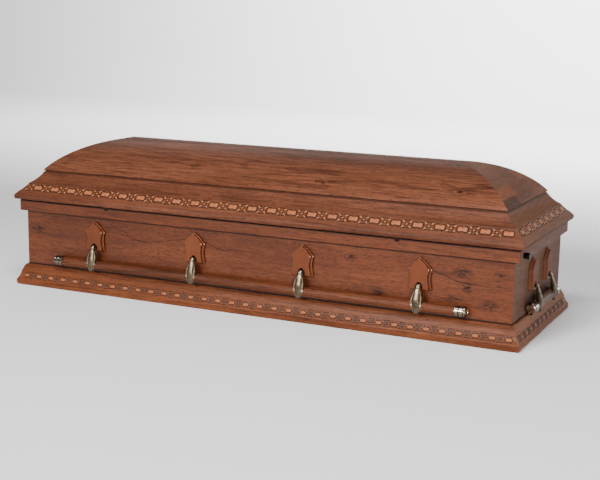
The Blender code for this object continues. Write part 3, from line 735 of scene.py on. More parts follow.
def wood_finishes(colours):
    """(tones, grain's axis, look) of each stained wood."""

    def tones(wood, tint=(1.0, 1.0, 1.0)):
        return tuple(tinted(getattr(colours, f"{wood}_{part}"), tint) for part in ("dark", "middle", "light"))

    plates = (colours.wood_dark, colours.plate_middle, colours.plate_light)
    plate_look = {**PLATE_LOOK, "edge": tuple(colours.plate_edge_highlight)}
    end_board = {**END_LOOK, "figure": 0.25}
    lid_look = {"figure": 0.6, "gloss": 0.42, "coat": 0.0, "level": 0.08}
    base_look = {"figure": 0.9, "gloss": 0.40, "coat": 0.0, "level": 0.06}
    dome_look = {"figure": 0.8, "gloss": 0.30, "coat": 0.0, "level": 0.07, "marks": dome_marks}
    bar_look = {"figure": 0.7, "gloss": 0.46, "coat": 0.0, "level": 0.12}
    return {
        "side_wood": (tones("wood"), "X", {"figure": 0.6, "corners": BOARD_CORNERS}),
        "front_board_wood": (
            tones("wood"), "X",
            {"figure": 0.32, "fleck": 0.52, "marks": board_marks, "corners": BOARD_CORNERS},
        ),
        # Side rails a little darker than the boards: painted shade from the lip above
        "side_rail_wood": (
            tones("wood", (0.96, 0.96, 0.96)), "X",
            {"figure": 0.6, "shift": (4.2, 1.4, 3.2), "corners": RAIL_CORNERS},
        ),
        # The ends' woods below use the greyer end tones: painted sheen on the ends
        "end_wood": (tones("end"), "Y", {**end_board, "corners": BOARD_CORNERS}),
        "end_rail_wood": (tones("end"), "Y", {**end_board, "corners": RAIL_CORNERS}),
        "lid_side_wood": (tones("lid"), "X", {**lid_look, "shift": (3.1, 0.4, 2.2), "corners": LID_CORNERS}),
        # Base drawn lighter and greyer than the boards: painted sheen
        "base_side_wood": (tones("wood", (1.12, 1.26, 1.45)), "X", {**base_look, "shift": (6.1, 2.4, 1.2)}),
        "lid_end_wood": (
            tones("end", (1.00, 0.76, 0.54)), "Y", {**end_board, "shift": END_SHIFT, "corners": LID_CORNERS},
        ),
        "base_end_wood": (tones("end", (1.30, 0.97, 0.72)), "Y", {**end_board, "shift": END_SHIFT}),
        # Dome's sides drawn lighter and greyer than the lid: painted sheen
        "dome_side_wood": (
            tones("lid", (1.14, 1.17, 1.18)), "X",
            {**dome_look, "shift": (5.0, 1.4, 4.2), "corners": DOME_CORNERS},
        ),
        "dome_end_wood": (
            tones("end", (1.22, 1.01, 0.84)), "Y",
            {**END_LOOK, "figure": 0.2, "staves": end_staves, "corners": DOME_CORNERS},
        ),
        "plate_wood": (plates, "Z", {**plate_look, "gloss": 0.24}),
        "plate_back_wood": (tones("wood"), "Z", {**plate_look, "gloss": 0.20}),
        "end_plate_wood": (END_PLATE_TONES, "Z", END_PLATE_LOOK),
        "side_bar_wood": (tones("wood", (1.0, 1.15, 1.35)), "X", {**bar_look, "shift": (2.0, 6.0, 1.0)}),
        "end_bar_wood": (
            tones("end"), "Y", {"figure": 0.6, "gloss": 0.44, "level": 0.10, "shift": (7.0, 2.0, 3.0)},
        ),
    }


def finishes(context):
    """All finishes by name, made once."""
    if FINISHES:
        return FINISHES
    colours = context.scene.coffin_colours
    for name, (tones, along, look) in wood_finishes(colours).items():
        FINISHES[name] = stained_wood(name, tones, along, **look)
    carved = {
        "lozenge_inlay": (colours.lozenge, 0.80),
        "base_lozenge_inlay": (colours.base_lozenge, 0.80),
        "seed_inlay": (colours.seed, 0.70, 0.34, 0.15),
        "base_seed_inlay": (colours.base_seed, 0.60, 0.40),
        "petal_wood": (colours.petal, 0.55),
        "carving_ground": (colours.ground, 0.6, 0.55),
        "socket_shadow": ((0.010, 0.006, 0.004), 0.6, 0.6),
        "slot_shadow": ((0.006, 0.004, 0.003), 0.6, 0.8),
    }
    for name, look in carved.items():
        FINISHES[name] = carved_finish(name, *look)
    metals = {
        "antique_metal": (colours.metal, 0.42, 0.34),
        "bright_metal": (colours.bright_metal, 0.30, 0.10),
        "dark_metal": (scaled(colours.metal, 0.22), 0.5, 0.3),
    }
    for name, look in metals.items():
        FINISHES[name] = antique_metal(name, *look)
    return FINISHES


def new_tree(name, inputs):
    """(Geometry Nodes tree, its inputs by name, its output), from (name, kind, default) of each input."""
    tree = bpy.data.node_groups.new(name, "GeometryNodeTree")
    for socket_name, kind, default in inputs:
        socket = tree.interface.new_socket(socket_name, in_out="INPUT", socket_type=f"NodeSocket{kind}")
        if default is not None:
            socket.default_value = default
    tree.interface.new_socket("Geometry", in_out="OUTPUT", socket_type="NodeSocketGeometry")
    return tree, tree.nodes.new("NodeGroupInput").outputs, tree.nodes.new("NodeGroupOutput").inputs[0]


def end_tree(tree, geometry, surface, result):
    """Turns a tree's copies into a mesh of their own with one surface, as its result."""
    real = node(tree, "GeometryNodeRealizeInstances", {"Geometry": geometry}).outputs[0]
    painted = node(tree, "GeometryNodeSetMaterial", {"Geometry": real, "Material": surface}).outputs[0]
    tree.links.new(painted, result)


ROW_PLACING = (
    ("Count", "Int", 4),
    ("Pitch", "Float", 0.1),
    ("Shift", "Float", 0.0),
    ("Reach", "Float", 10.0),
    ("Out", "Float", 0.0),
    ("Height", "Float", 0.0),
)
ROW_INPUTS = (
    ("Piece", "Object", None),
    *ROW_PLACING,
    *((name, "Float", 0.0) for name in ("Tilt", "Turn", "Face Ends", "Dull")),
    ("Seed", "Int", 0),
    ("Surface", "Material", None),
)
ROUND_INPUTS = (
    ("Piece", "Object", None),
    *((f"{kind} {name}", *rest) for kind in ("Side", "End") for name, *rest in ROW_PLACING),
    *((name, "Float", 0.0) for name in ("End Dull", "Tilt")),
    ("Seed", "Int", 0),
    ("Surface", "Material", None),
)


def row_tree():
    """A row of copies of one piece along a side of the coffin.

    Face Ends turns the copies left of the middle half round, so that they face their own end.
    Each copy keeps a chance between 0 and 1 as its tone, plus 1 in a row that gets painted shade.
    """
    name = "Row along a side"
    if name in bpy.data.node_groups:
        return bpy.data.node_groups[name]
    tree, given, result = new_tree(name, ROW_INPUTS)
    half_row = calc(tree, "MULTIPLY", calc(tree, "SUBTRACT", given["Count"], 1.0), 0.5)
    start = calc(tree, "SUBTRACT", given["Shift"], calc(tree, "MULTIPLY", half_row, given["Pitch"]))
    spread = {"Start Location": vector(tree, x=start), "Offset": vector(tree, x=given["Pitch"])}
    line = node(tree, "GeometryNodeMeshLine", {"Count": given["Count"], **spread}, mode="OFFSET").outputs[0]
    along = parts_of(tree, node(tree, "GeometryNodeInputPosition").outputs[0])["X"]
    beyond = calc(tree, "GREATER_THAN", calc(tree, "ABSOLUTE", along), given["Reach"])
    kept = node(tree, "GeometryNodeDeleteGeometry", {"Geometry": line, "Selection": beyond}, domain="POINT")
    half_turn = calc(tree, "MULTIPLY", calc(tree, "LESS_THAN", along, 0.0), math.pi)
    facing = vector(tree, z=calc(tree, "MULTIPLY", half_turn, given["Face Ends"]))
    piece = node(tree, "GeometryNodeObjectInfo", {"Object": given["Piece"]}).outputs["Geometry"]
    copying = {"Points": kept.outputs[0], "Instance": piece, "Rotation": facing}
    copies = node(tree, "GeometryNodeInstanceOnPoints", copying).outputs[0]
    chance = node(tree, "FunctionNodeRandomValue", {"Seed": given["Seed"]}, data_type="FLOAT").outputs[1]
    tone = {"Geometry": copies, "Name": "tone", "Value": calc(tree, "ADD", chance, given["Dull"])}
    toned = node(tree, "GeometryNodeStoreNamedAttribute", tone, data_type="FLOAT", domain="INSTANCE")
    offset = vector(tree, y=calc(tree, "MULTIPLY", given["Out"], -1.0), z=given["Height"])
    placing = {"Geometry": toned.outputs[0], "Translation": offset, "Rotation": vector(tree, x=given["Tilt"])}
    placed = node(tree, "GeometryNodeTransform", placing).outputs[0]
    turning = {"Geometry": placed, "Rotation": vector(tree, z=given["Turn"])}
    turned = node(tree, "GeometryNodeTransform", turning).outputs[0]
    end_tree(tree, turned, given["Surface"], result)
    return tree


def round_tree():
    """The same piece in a row on each of the four sides of the coffin."""
    name = "Rows round the coffin"
    if name in bpy.data.node_groups:
        return bpy.data.node_groups[name]
    tree, given, result = new_tree(name, ROUND_INPUTS)
    joined = node(tree, "GeometryNodeJoinGeometry")
    for number, side in enumerate(SIDE_NAMES):
        kind = "Side" if side in LONG_SIDES else "End"
        inputs = {row[0]: given[f"{kind} {row[0]}"] for row in ROW_PLACING}
        inputs.update({key: given[key] for key in ("Piece", "Tilt", "Surface")})
        inputs["Seed"] = calc(tree, "ADD", given["Seed"], number)
        inputs["Turn"] = TURNS[side]
        inputs["Dull"] = given["End Dull"] if kind == "End" else 0.0
        group = node(tree, "GeometryNodeGroup", inputs, node_tree=row_tree())
        tree.links.new(group.outputs[0], joined.inputs[0])
    end_tree(tree, joined.outputs[0], given["Surface"], result)
    return tree


def grown_piece(name, tree, settings, crease=32.0):
    """A plain mesh object with what a Geometry Nodes tree makes from these settings."""
    piece = new_object(name, bpy.data.meshes.new(name))
    modifier = piece.modifiers.new("rows", "NODES")
    modifier.node_group = tree
    for item in tree.interface.items_tree:
        if item.item_type == "SOCKET" and item.in_out == "INPUT" and item.name in settings:
            modifier[item.identifier] = settings[item.name]
    graph = bpy.context.evaluated_depsgraph_get()
    evaluated = piece.evaluated_get(graph)
    mesh = bpy.data.meshes.new_from_object(evaluated, preserve_all_data_layers=True, depsgraph=graph)
    if not mesh.polygons:
        raise RuntimeError(f"{name} came out empty")
    piece.modifiers.clear()
    piece.data = mesh
    mesh.name = name
    shade(mesh, crease)
    return piece


def remove_pattern(pattern):
    mesh = pattern.data
    bpy.data.objects.remove(pattern)
    bpy.data.meshes.remove(mesh)


def raised_shape(bm, outline, low, high, easing):
    """Adds a flat shape that rises from low to high, with its upper edge eased inward."""
    middle = sum((Vector(point) for point in outline), Vector((0, 0))) / len(outline)
    steps = ((0.0, low), (0.0, high - easing), (0.45 * easing, high - 0.25 * easing), (easing, high))
    rings = []
    for shrink, height in steps:
        ring = []
        for point in outline:
            toward = middle - Vector(point)
            moved = Vector(point) + toward.normalized() * min(shrink, toward.length * 0.6)
            ring.append(bm.verts.new((*moved, height)))
        rings.append(ring)
    join_rings(bm, rings)


def lozenge_outline(quarter, notch, width, height, margin=0.0):
    """An oblong made from its upper right quarter, with a notch in its long edges."""
    half_width, half_height = width / 2 + margin, height / 2 + margin
    first = [(x * half_width, y * half_height) for x, y in quarter]
    upper = [*first, (0.0, notch * half_height), *mirrored(first)]
    lower = [(-x, -y) for x, y in upper[1:-1]]
    return upper + lower


def bar_outline(start, end, width):
    """A thin bar with pointed ends from start to end."""
    start, run = Vector(start), Vector(end) - Vector(start)
    side = Vector((-run.y, run.x)).normalized() * width / 2
    stations = ((0.0, 0.3), (0.2, 1.0), (0.8, 1.0), (1.0, 0.3))
    below = [tuple(start + run * share - side * half) for share, half in stations]
    above = [tuple(start + run * share + side * half) for share, half in reversed(stations)]
    return below + above


def oval_outline(size, middle, angle, count=12, point=0.0):
    """An oval of this length and width, with one end drawn to a point by the given share."""
    turn = Matrix.Rotation(angle, 2)
    points = []
    for cosine, sine in round_steps(count):
        across = sine * size[1] / 2 * (1 - point * max(0.0, cosine))
        points.append(tuple(Vector(middle) + turn @ Vector((cosine * size[0] / 2, across))))
    return points


LID_QUARTER = (
    (0.92, 0.00), (0.96, 0.16), (1.00, 0.38), (0.98, 0.62), (0.90, 0.83),
    (0.76, 0.96), (0.59, 1.00), (0.42, 0.97), (0.27, 0.88), (0.13, 0.74),
)
BASE_QUARTER = (
    (1.00, 0.00), (0.96, 0.24), (0.86, 0.52), (0.74, 0.80), (0.58, 0.96), (0.34, 1.00), (0.16, 0.95),
)

# The pattern between two lozenges of the lid, from its middle; the base's is smaller
QUADRANTS = ((-1, -1), (-1, 1), (1, -1), (1, 1))
SEED_PLACE, SEED_SIZE = (0.0128, 0.0105), (0.0126, 0.0062)
MIDDLE_SEED_SIZE = (0.0080, 0.0060)
PETAL_REACH, PETAL_RISE, PETAL_SIZE = 0.0142, 0.0108, (0.0108, 0.0092)
DASH_PLACE, DASH_SIZE = (0.0090, 0.0142), (0.0150, 0.0022)
CROSS_CORNER, CROSS_PEAK, CROSS_LINE = (0.0200, 0.0150), 0.0165, 0.0030
CROSS_SIDE = ((0.0210, -0.0040), (0.0185, 0.0040))
LOZENGE_RIM, SEED_RIM = 0.0034, 0.0038
LOZENGE_MARGIN, CROSS_MARGIN = 0.0190, 0.0200

# Carved bands: foot and top of their slope, share of it, a lozenge's quarter and notch, scale and inlays
BANDS = {
    "lid": (
        (LIP_SLOPE_FOOT, COVE_FOOT), LID_BAND, (LID_QUARTER, 0.80), 1.0,
        ("lozenge_inlay", "seed_inlay"),
    ),
    "base": (
        (PLINTH_TOP, BASE_SLOPE_TOP), BASE_BAND, (BASE_QUARTER, 0.94), 0.72,
        ("base_lozenge_inlay", "base_seed_inlay"),
    ),
}


def cross_bars():
    """Ends of the thin dark bars that run between the seeds."""
    right, up = CROSS_CORNER
    bars = [((-right, -up), (right, up)), ((-right, up), (right, -up))]
    for sign in (-1, 1):
        bars.append(((-right, sign * up), (0.0, sign * CROSS_PEAK)))
        bars.append(((0.0, sign * CROSS_PEAK), (right, sign * up)))
        bars.append(tuple((sign * x, y) for x, y in CROSS_SIDE))
    return bars


def band_patterns(scale, lozenge, sink, quarter, notch):
    """The loose shapes of a carved band, flat on the XY plane, with the slope's face at height 0."""

    def grown(outline):
        return [(x * scale, y * scale) for x, y in outline]

    def seed_ovals(rim, point):
        seeds = [(MIDDLE_SEED_SIZE, (0.0, 0.0), math.atan2(SEED_PLACE[1], SEED_PLACE[0]))]
        for quadrant in QUADRANTS:
            place = tinted(SEED_PLACE, quadrant)
            seeds.append((SEED_SIZE, place, math.atan2(place[1], place[0]) + math.pi))
        return [
            grown(oval_outline((x + rim, y + rim), place, angle, point=point))
            for (x, y), place, angle in seeds
        ]

    floor = -sink
    under = floor - 0.0002
    dashes = [grown(oval_outline(DASH_SIZE, tinted(DASH_PLACE, quadrant), 0.0)) for quadrant in QUADRANTS]
    petals = (
        ((0.0, PETAL_RISE), 1.5 * math.pi), ((0.0, -PETAL_RISE), 0.5 * math.pi),
        ((PETAL_REACH, 0.0), math.pi), ((-PETAL_REACH, 0.0), 0.0),
    )
    petals = [grown(oval_outline(PETAL_SIZE, place, angle, 8, 0.75)) for place, angle in petals]
    bars = [grown(bar_outline(*bar, CROSS_LINE)) for bar in cross_bars()]
    rim = lozenge_outline(quarter, notch, *lozenge, LOZENGE_RIM * scale)
    ridge, line = (under, floor + 0.0004, 0.0003), (under, floor + 0.0003, 0.0002)
    # The dark rims under the lozenges and the seeds stand for their grooves: dark stain with painted shade
    layers = {
        "lozenge": (([lozenge_outline(quarter, notch, *lozenge)], (floor, 0.0002, 0.0010 * scale)),),
        "outline": (([rim], ridge), (dashes, line)),
        "seeds": ((seed_ovals(0.0, 0.35), (floor, 0.0002, 0.0011 * scale)),),
        "petals": ((petals, (floor, -0.0003, 0.0010 * scale)),),
        "cross": ((seed_ovals(SEED_RIM, 0.3), ridge), (bars, line)),
    }
    patterns = {}
    for kind, groups in layers.items():
        bm = bmesh.new()
        for outlines, rise in groups:
            for outline in outlines:
                raised_shape(bm, outline, *rise)
        patterns[kind] = finish_piece(f"{kind}_pattern", bm)
    return patterns


def sunk_strip(foot, top, start, end, sink):
    """Points of a strip that is sunk into the straight slope from foot to top."""
    slope = Vector(top) - Vector(foot)
    inward = Vector((slope.y, -slope.x)).normalized() * sink
    low = Vector(between(foot, top, start))
    high = Vector(between(foot, top, end))
    return [tuple(low), tuple(low + inward), tuple(high + inward), tuple(high)]


def base_outline(plan, sink, scored):
    """The base moulding's section; the ends have a scored line on both sides of their band."""
    back = plan.board_inset - 0.0003
    slope = (PLINTH_TOP, BASE_SLOPE_TOP)
    corners = [
        (back, 0.0),
        PLINTH_FOOT,
        PLINTH_BOTTOM,
        PLINTH_TOP,
        *(sunk_strip(*slope, *LOWER_SCORE) if scored else ()),
        *sunk_strip(*slope, *BASE_BAND, sink),
        *(sunk_strip(*slope, *UPPER_SCORE) if scored else ()),
        BASE_SLOPE_TOP,
        BASE_SHOULDER,
        (BASE_TOP_INSET, BASE_TOP_HEIGHT),
        (back, BASE_TOP_HEIGHT),
    ]
    return eased_outline(corners, plan.edge_easing)


def nose_points(steps):
    """The rounded nose of the lip, from its foot up to where the slope starts."""
    (inset, height), (reach, rise) = NOSE_MIDDLE, NOSE_RADII
    angles = [math.radians(blend(*NOSE_ANGLES, step / steps)) for step in range(steps + 1)]
    return [(inset - reach * math.cos(angle), height + rise * math.sin(angle)) for angle in angles]


def lid_outline(plan, sink):
    """The lid moulding's section."""
    corners = [
        LIP_BACK,
        LIP_FOOT,
        *nose_points(10),
        *sunk_strip(LIP_SLOPE_FOOT, COVE_FOOT, *LID_BAND, sink),
        *sagging_arc(COVE_FOOT, COVE_TOP, COVE_SAG, 14),
        (GROOVE_INSET, COVE_TOP[1] + 0.001),
        (GROOVE_INSET, LID_MOULDING_TOP),
        (LID_MOULDING_BACK, LID_MOULDING_TOP),
        (LID_MOULDING_BACK, LID_MOULDING_WEB_TOP),
        LID_MOULDING_WEB,
    ]
    return eased_outline(corners, plan.edge_easing)


class COFFIN_OT_box(bpy.types.Operator):
    """Stains the boards of the box and the rails, whose own solids stay."""

    bl_idname = "coffin.make_box"
    bl_label = "Box and Rails"

    def execute(self, context):
        woods = finishes(context)
        for name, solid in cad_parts.items():
            if not name.startswith(("box_", "rail_")):
                continue
            wood = "side" if name.endswith(LONG_SIDES) or name == "box_bottom" else "end"
            if name.startswith("rail_"):
                wood += "_rail"
            elif name == "box_side_front":
                wood = "front_board"
            solid.data.materials.clear()
            solid.data.materials.append(woods[f"{wood}_wood"])
        return {"FINISHED"}


class COFFIN_OT_mouldings(bpy.types.Operator):
    """Makes the mitred mouldings of the base and the lid, with a sunk strip for the carving."""

    bl_idname = "coffin.make_mouldings"
    bl_label = "Mouldings"

    def execute(self, context):
        plan, sink = context.scene.coffin_plan, context.scene.coffin_carving.sink
        woods = finishes(context)
        for kind in ("base", "lid"):
            for side in SIDE_NAMES:
                run = "side" if side in LONG_SIDES else "end"
                outline = lid_outline(plan, sink) if kind == "lid" else base_outline(plan, sink, run == "end")
                bm = bmesh.new()
                sweep_side(bm, outline, plan, side)
                piece = finish_piece(f"{kind}_moulding_{side}_finished", bm, (woods[f"{kind}_{run}_wood"],))
                declare(piece, ROOT_BODY, "stained_wood", f"{kind}_moulding_{side}")
        return {"FINISHED"}


class COFFIN_OT_carving(bpy.types.Operator):
    """Fills the sunk strips with rows of lozenges, seeds and petals."""

    bl_idname = "coffin.make_carving"
    bl_label = "Carved Bands"

    def fill_band(self, context, band, slope_ends, share, shape, scale, inlays):
        plan, carving = context.scene.coffin_plan, context.scene.coffin_carving

        def size(name):
            return getattr(carving, f"{band}_{name}")

        inset, height = between(*slope_ends, sum(share) / 2)
        slope = Vector(slope_ends[1]) - Vector(slope_ends[0])
        lozenge = (size("lozenge_length"), size("lozenge_height"))
        surfaces = {"lozenge": inlays[0], "seeds": inlays[1], "petals": "petal_wood"}
        for kind, pattern in band_patterns(scale, lozenge, carving.sink, *shape).items():
            extra = 0 if kind in ("lozenge", "outline") else 1
            margin = (CROSS_MARGIN if extra else LOZENGE_MARGIN) * scale
            settings = {
                "Piece": pattern,
                "Side Count": size("count") + extra,
                "Side Pitch": size("pitch"),
                "Side Shift": size("shift"),
                "Side Reach": plan.length / 2 - inset - margin,
                "Side Out": plan.width / 2 - inset,
                "Side Height": height,
                "End Count": size("end_count") + extra,
                "End Pitch": size("end_pitch"),
                "End Shift": size("end_shift"),
                "End Reach": plan.width / 2 - inset - margin,
                "End Out": plan.length / 2 - inset,
                "End Height": height,
                "End Dull": 1.0,
                "Tilt": math.atan2(slope.y, slope.x),
                "Seed": carving.seed,
                "Surface": finishes(context)[surfaces.get(kind, "carving_ground")],
            }
            piece = grown_piece(f"{band}_carving_{kind}", round_tree(), settings)
            declare(piece, ROOT_BODY, "stained_wood")
            remove_pattern(pattern)

    def execute(self, context):
        for band, look in BANDS.items():
            self.fill_band(context, band, *look)
        return {"FINISHED"}


class COFFIN_OT_dome(bpy.types.Operator):
    """Makes the domed top of the lid as one shell with four hips."""

    bl_idname = "coffin.make_dome"
    bl_label = "Dome"

    def execute(self, context):
        plan = context.scene.coffin_plan
        woods = finishes(context)
        outside = [*DOME_FOOT, *curve_points(DOME_OUTSIDE, 40)]
        inside = curve_points(DOME_INSIDE, 20)
        stretch = (plan.width / 2 - DOME_INSET) / DOME_OUTSIDE[-1][0]
        loop = [(DOME_INSET + reach * stretch, height) for reach, height in [*outside, *reversed(inside)]]
        bm = bmesh.new()
        for side in SIDE_NAMES:
            half_run, half_depth = half_sizes(plan, side)
            turn = Matrix.Rotation(TURNS[side], 3, "Z")
            left, right = (
                [
                    bm.verts.new(turn @ Vector((end * (half_run - inset), inset - half_depth, height)))
                    for inset, height in loop
                ]
                for end in (-1, 1)
            )
            for index in range(len(loop)):
                if index == len(outside) - 1:
                    continue
                following = (index + 1) % len(loop)
                face = bm.faces.new((left[index], left[following], right[following], right[index]))
                face.material_index = 0 if side in LONG_SIDES else 1
        bmesh.ops.remove_doubles(bm, verts=bm.verts, dist=1e-5)
        bmesh.ops.dissolve_degenerate(bm, edges=bm.edges, dist=1e-6)
        piece = finish_piece("lid_dome", bm, (woods["dome_side_wood"], woods["dome_end_wood"]), 12.0)
        declare(piece, ROOT_BODY, "dome_wood", *(f"lid_dome_{side}" for side in SIDE_NAMES))
        return {"FINISHED"}


# Plates, as half their width at the foot, waist and shoulder and the height of their tip,
# and how far out they start and end, with the easing of their edge
BACK_PLATE, BACK_PLATE_DEPTHS = (0.0455, 0.0390, 0.0450, 0.1150), (0.0003, 0.0090, 0.0026)
FRONT_PLATE, FRONT_PLATE_DEPTHS = (0.0380, 0.0300, 0.0370, 0.1085), (0.0084, 0.0180, 0.0034)
# Thin dark plates at the back of each slot: painted shadow
SLOT_SHADOW_DEPTHS, SLOT_SHADOW_SHARE = (0.0002, 0.0007, 0.0001), 0.98
PLATE_CORNER, PLATE_SHOULDER_HEIGHT, PLATE_ARCH_BULGE = 0.0040, 0.0740, 0.0035

# Painted light on a plate: its sides get painted shade from this share of the easing behind its front.
# Between the two shares of PALE_EDGE, and above this height, its edge gets a painted highlight, strong on the
# right and weak on the left.
DARK_SIDE, DARK_SIDE_SHADE = 0.9, -0.75
PALE_EDGE, PALE_EDGE_FOOT, PALE_EDGE_HIGHLIGHT = (0.02, 0.45), 0.010, (1.0, 0.15)


def slot_outline(sizes):
    """The round-headed slot in a plate's foot."""
    radius = sizes.slot_width / 2
    spring = sizes.slot_height - radius
    angles = [math.pi * step / 12 for step in range(13)]
    arch = [(radius * math.cos(angle), spring + radius * math.sin(angle)) for angle in angles]
    return [(radius, 0.0), *arch, (-radius, 0.0)]


def plate_outline(sizes, half_foot, half_waist, half_shoulder, apex):
    """A shield with waisted sides and a pointed arch, as (along, up) round from the slot's left foot."""
    corner, shoulder = PLATE_CORNER, PLATE_SHOULDER_HEIGHT
    sag = (half_foot + half_shoulder) / 2 - half_waist
    left = [(-half_foot + corner, 0.0), (-half_foot + 0.3 * corner, 0.3 * corner), (-half_foot, corner)]
    for step in range(1, 11):
        share = step / 10
        width = blend(half_foot, half_shoulder, share) - sag * math.sin(math.pi * share)
        left.append((-width, blend(corner, shoulder, share)))
    for step in range(1, 9):
        share = step / 9
        rise = PLATE_ARCH_BULGE * math.sin(math.pi * share)
        left.append((-half_shoulder * (1 - share), blend(shoulder, apex, share) + rise))
    return [*left, (0.0, apex), *mirrored(left), *slot_outline(sizes)]


def slab(outline, low, high, easing):
    """A flat board with this outline, standing out from low to high, with its front edge rounded, a painted
    highlight along that edge and painted shade on its sides.
    """
    bm = bmesh.new()
    back, front = ([bm.verts.new((along, -out, up)) for along, up in outline] for out in (low, high))
    join_rings(bm, [back, front])
    rim = [edge for edge in bm.edges if all(vert in front for vert in edge.verts)]
    shape = {"segments": 4, "profile": 0.6, "affect": "EDGES", "clamp_overlap": True}
    bmesh.ops.bevel(bm, geom=rim, offset=easing, **shape)
    # Painted light: shade on the sides, a highlight along the front edge
    wear = vert_layer(bm, "wear")
    for vert in bm.verts:
        depth = (vert.co.y + high) / easing
        if depth > DARK_SIDE:
            vert[wear] = DARK_SIDE_SHADE
        elif PALE_EDGE[0] <= depth < PALE_EDGE[1] and vert.co.z >= PALE_EDGE_FOOT:
            vert[wear] = PALE_EDGE_HIGHLIGHT[0 if vert.co.x > 0.0 else 1]
    return bm


class COFFIN_OT_plates(bpy.types.Operator):
    """Makes the two-layer plates that carry the handles."""

    bl_idname = "coffin.make_plates"
    bl_label = "Handle Plates"

    def execute(self, context):
        plan, sizes = context.scene.coffin_plan, context.scene.coffin_handles
        woods = finishes(context)
        slot = [scaled(point, SLOT_SHADOW_SHARE) for point in slot_outline(sizes)]
        back, front = plate_outline(sizes, *BACK_PLATE), plate_outline(sizes, *FRONT_PLATE)
        layers = {
            "plates_back": (back, BACK_PLATE_DEPTHS, "plate_back_wood", "end_plate_wood"),
            "plates_front": (front, FRONT_PLATE_DEPTHS, "plate_wood", "end_plate_wood"),
            "slot_backs": (slot, SLOT_SHADOW_DEPTHS, "slot_shadow", "slot_shadow"),
        }
        for name, (outline, depths, side_surface, end_surface) in layers.items():
            pattern = finish_piece(f"{name}_pattern", slab(outline, *depths))
            for kind, surface, other in (("side", side_surface, "End"), ("end", end_surface, "Side")):
                settings = {
                    "Piece": pattern,
                    "Side Count": 4,
                    "Side Pitch": sizes.long_pitch,
                    "Side Out": plan.width / 2 - plan.board_inset,
                    "Side Height": sizes.plate_foot,
                    "End Count": 2,
                    "End Pitch": sizes.short_pitch,
                    "End Out": plan.length / 2 - plan.board_inset,
                    "End Height": sizes.plate_foot - sizes.end_drop,
                    f"{other} Reach": -1.0,
                    "Surface": woods[surface],
                }
                piece = grown_piece(f"{kind}_{name}", round_tree(), settings)
                sides = LONG_SIDES if kind == "side" else ("right", "left")
                solids = [node_name for node_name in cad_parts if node_name.startswith("plate_")]
                solids = [solid for solid in solids if solid.split("_")[1] in sides]
                declare(piece, ROOT_BODY, "plate_wood", *(solids if name == "plates_back" else ()))
            remove_pattern(pattern)
        return {"FINISHED"}


# The leaf of an arm, at shares of the way down: its front, its back and its panel's share of the width
LEAF_TOP_HEIGHT, LEAF_TIP_HEIGHT = 0.1810, 0.0955
LEAF_FRONT = ((0.0, 0.0330), (0.2, 0.0385), (0.45, 0.0462), (0.7, 0.0478), (1.0, 0.0440))
LEAF_BACK = ((0.0, 0.0262), (0.2, 0.0245), (0.4, 0.0262), (0.7, 0.0325), (1.0, 0.0350))
LEAF_PANEL = ((0.0, 0.70), (0.25, 0.50), (0.6, 0.44), (0.85, 0.36), (1.0, 0.30))
LEAF_ROWS, LEAF_COLUMNS = 34, 26

# How far the middle of the leaf stands out over the bar, and how much less its edges do
OVER_BAR, OVER_BAR_FALL = 0.0011, 0.0008

# The eye: out and height of its middle, its radii, half its thickness on them, and half its width.
# A lower rounding makes its section squarer.
EYE_MIDDLE = (0.0205, 0.1844)
EYE_RADII, EYE_THICKNESS, EYE_HALF_WIDTH = (0.00780, 0.01130), (0.00320, 0.00190), 0.00625
EYE_ROUNDING = 0.7
EYE_STEPS, EYE_SEGMENTS = 32, 12
KNOB_PLACE, KNOB_RADIUS = (0.0042, 0.0425, 0.0972), 0.0021


def leaf_half_width(share):
    """Half of the leaf's width at a share of the way down to its rounded tip."""
    top, widest, tip, widest_at = 0.0135, 0.0400, 0.0170, 0.50
    if share < widest_at:
        return blend(top, widest, math.sin(math.pi / 2 * share / widest_at)) / 2
    taper = math.cos(math.pi / 2 * (share - widest_at) / (1 - widest_at)) ** 0.80
    rounding = math.sqrt(max(0.0, 1.0 - max(0.0, (share - 0.94) / 0.06) ** 2))
    return blend(tip, widest, taper) / 2 * blend(0.45, 1.0, rounding)


def bar_front(sizes, height):
    """How far out the front of the bar lies at this height, or nothing where it isn't."""
    radius = sizes.bar_radius + 0.0004
    rise = abs(height - sizes.bar_height) / radius
    return sizes.bar_out + radius * math.sqrt(1.0 - rise**2) if rise < 1.0 else 0.0


def leaf_depth(across, down):
    """How far the leaf's face lies behind its middle, as a share of its thickness."""
    side = abs(across)
    panel = smooth_value(LEAF_PANEL, down)
    if side <= panel:
        return 0.06 * (side / panel) ** 2
    beyond = (side - panel) / (1 - panel)
    hollow = 0.20 * math.sin(math.pi * min(1.0, beyond)) ** 0.8
    return 0.06 + 0.34 * beyond**1.3 + hollow


def leaf_wear_and_highlight(across, down):
    """Wearing and painted highlight on the leaf's neck, along its rim and along the edge of its panel."""
    neck = 1.0 - down / 0.20
    rim = 0.8 * (1.0 - abs(abs(across) - 0.94) * 12)
    ridge = 0.35 * (1.0 - abs(abs(across) - smooth_value(LEAF_PANEL, down)) * 9)
    return max(0.0, neck, rim, ridge)


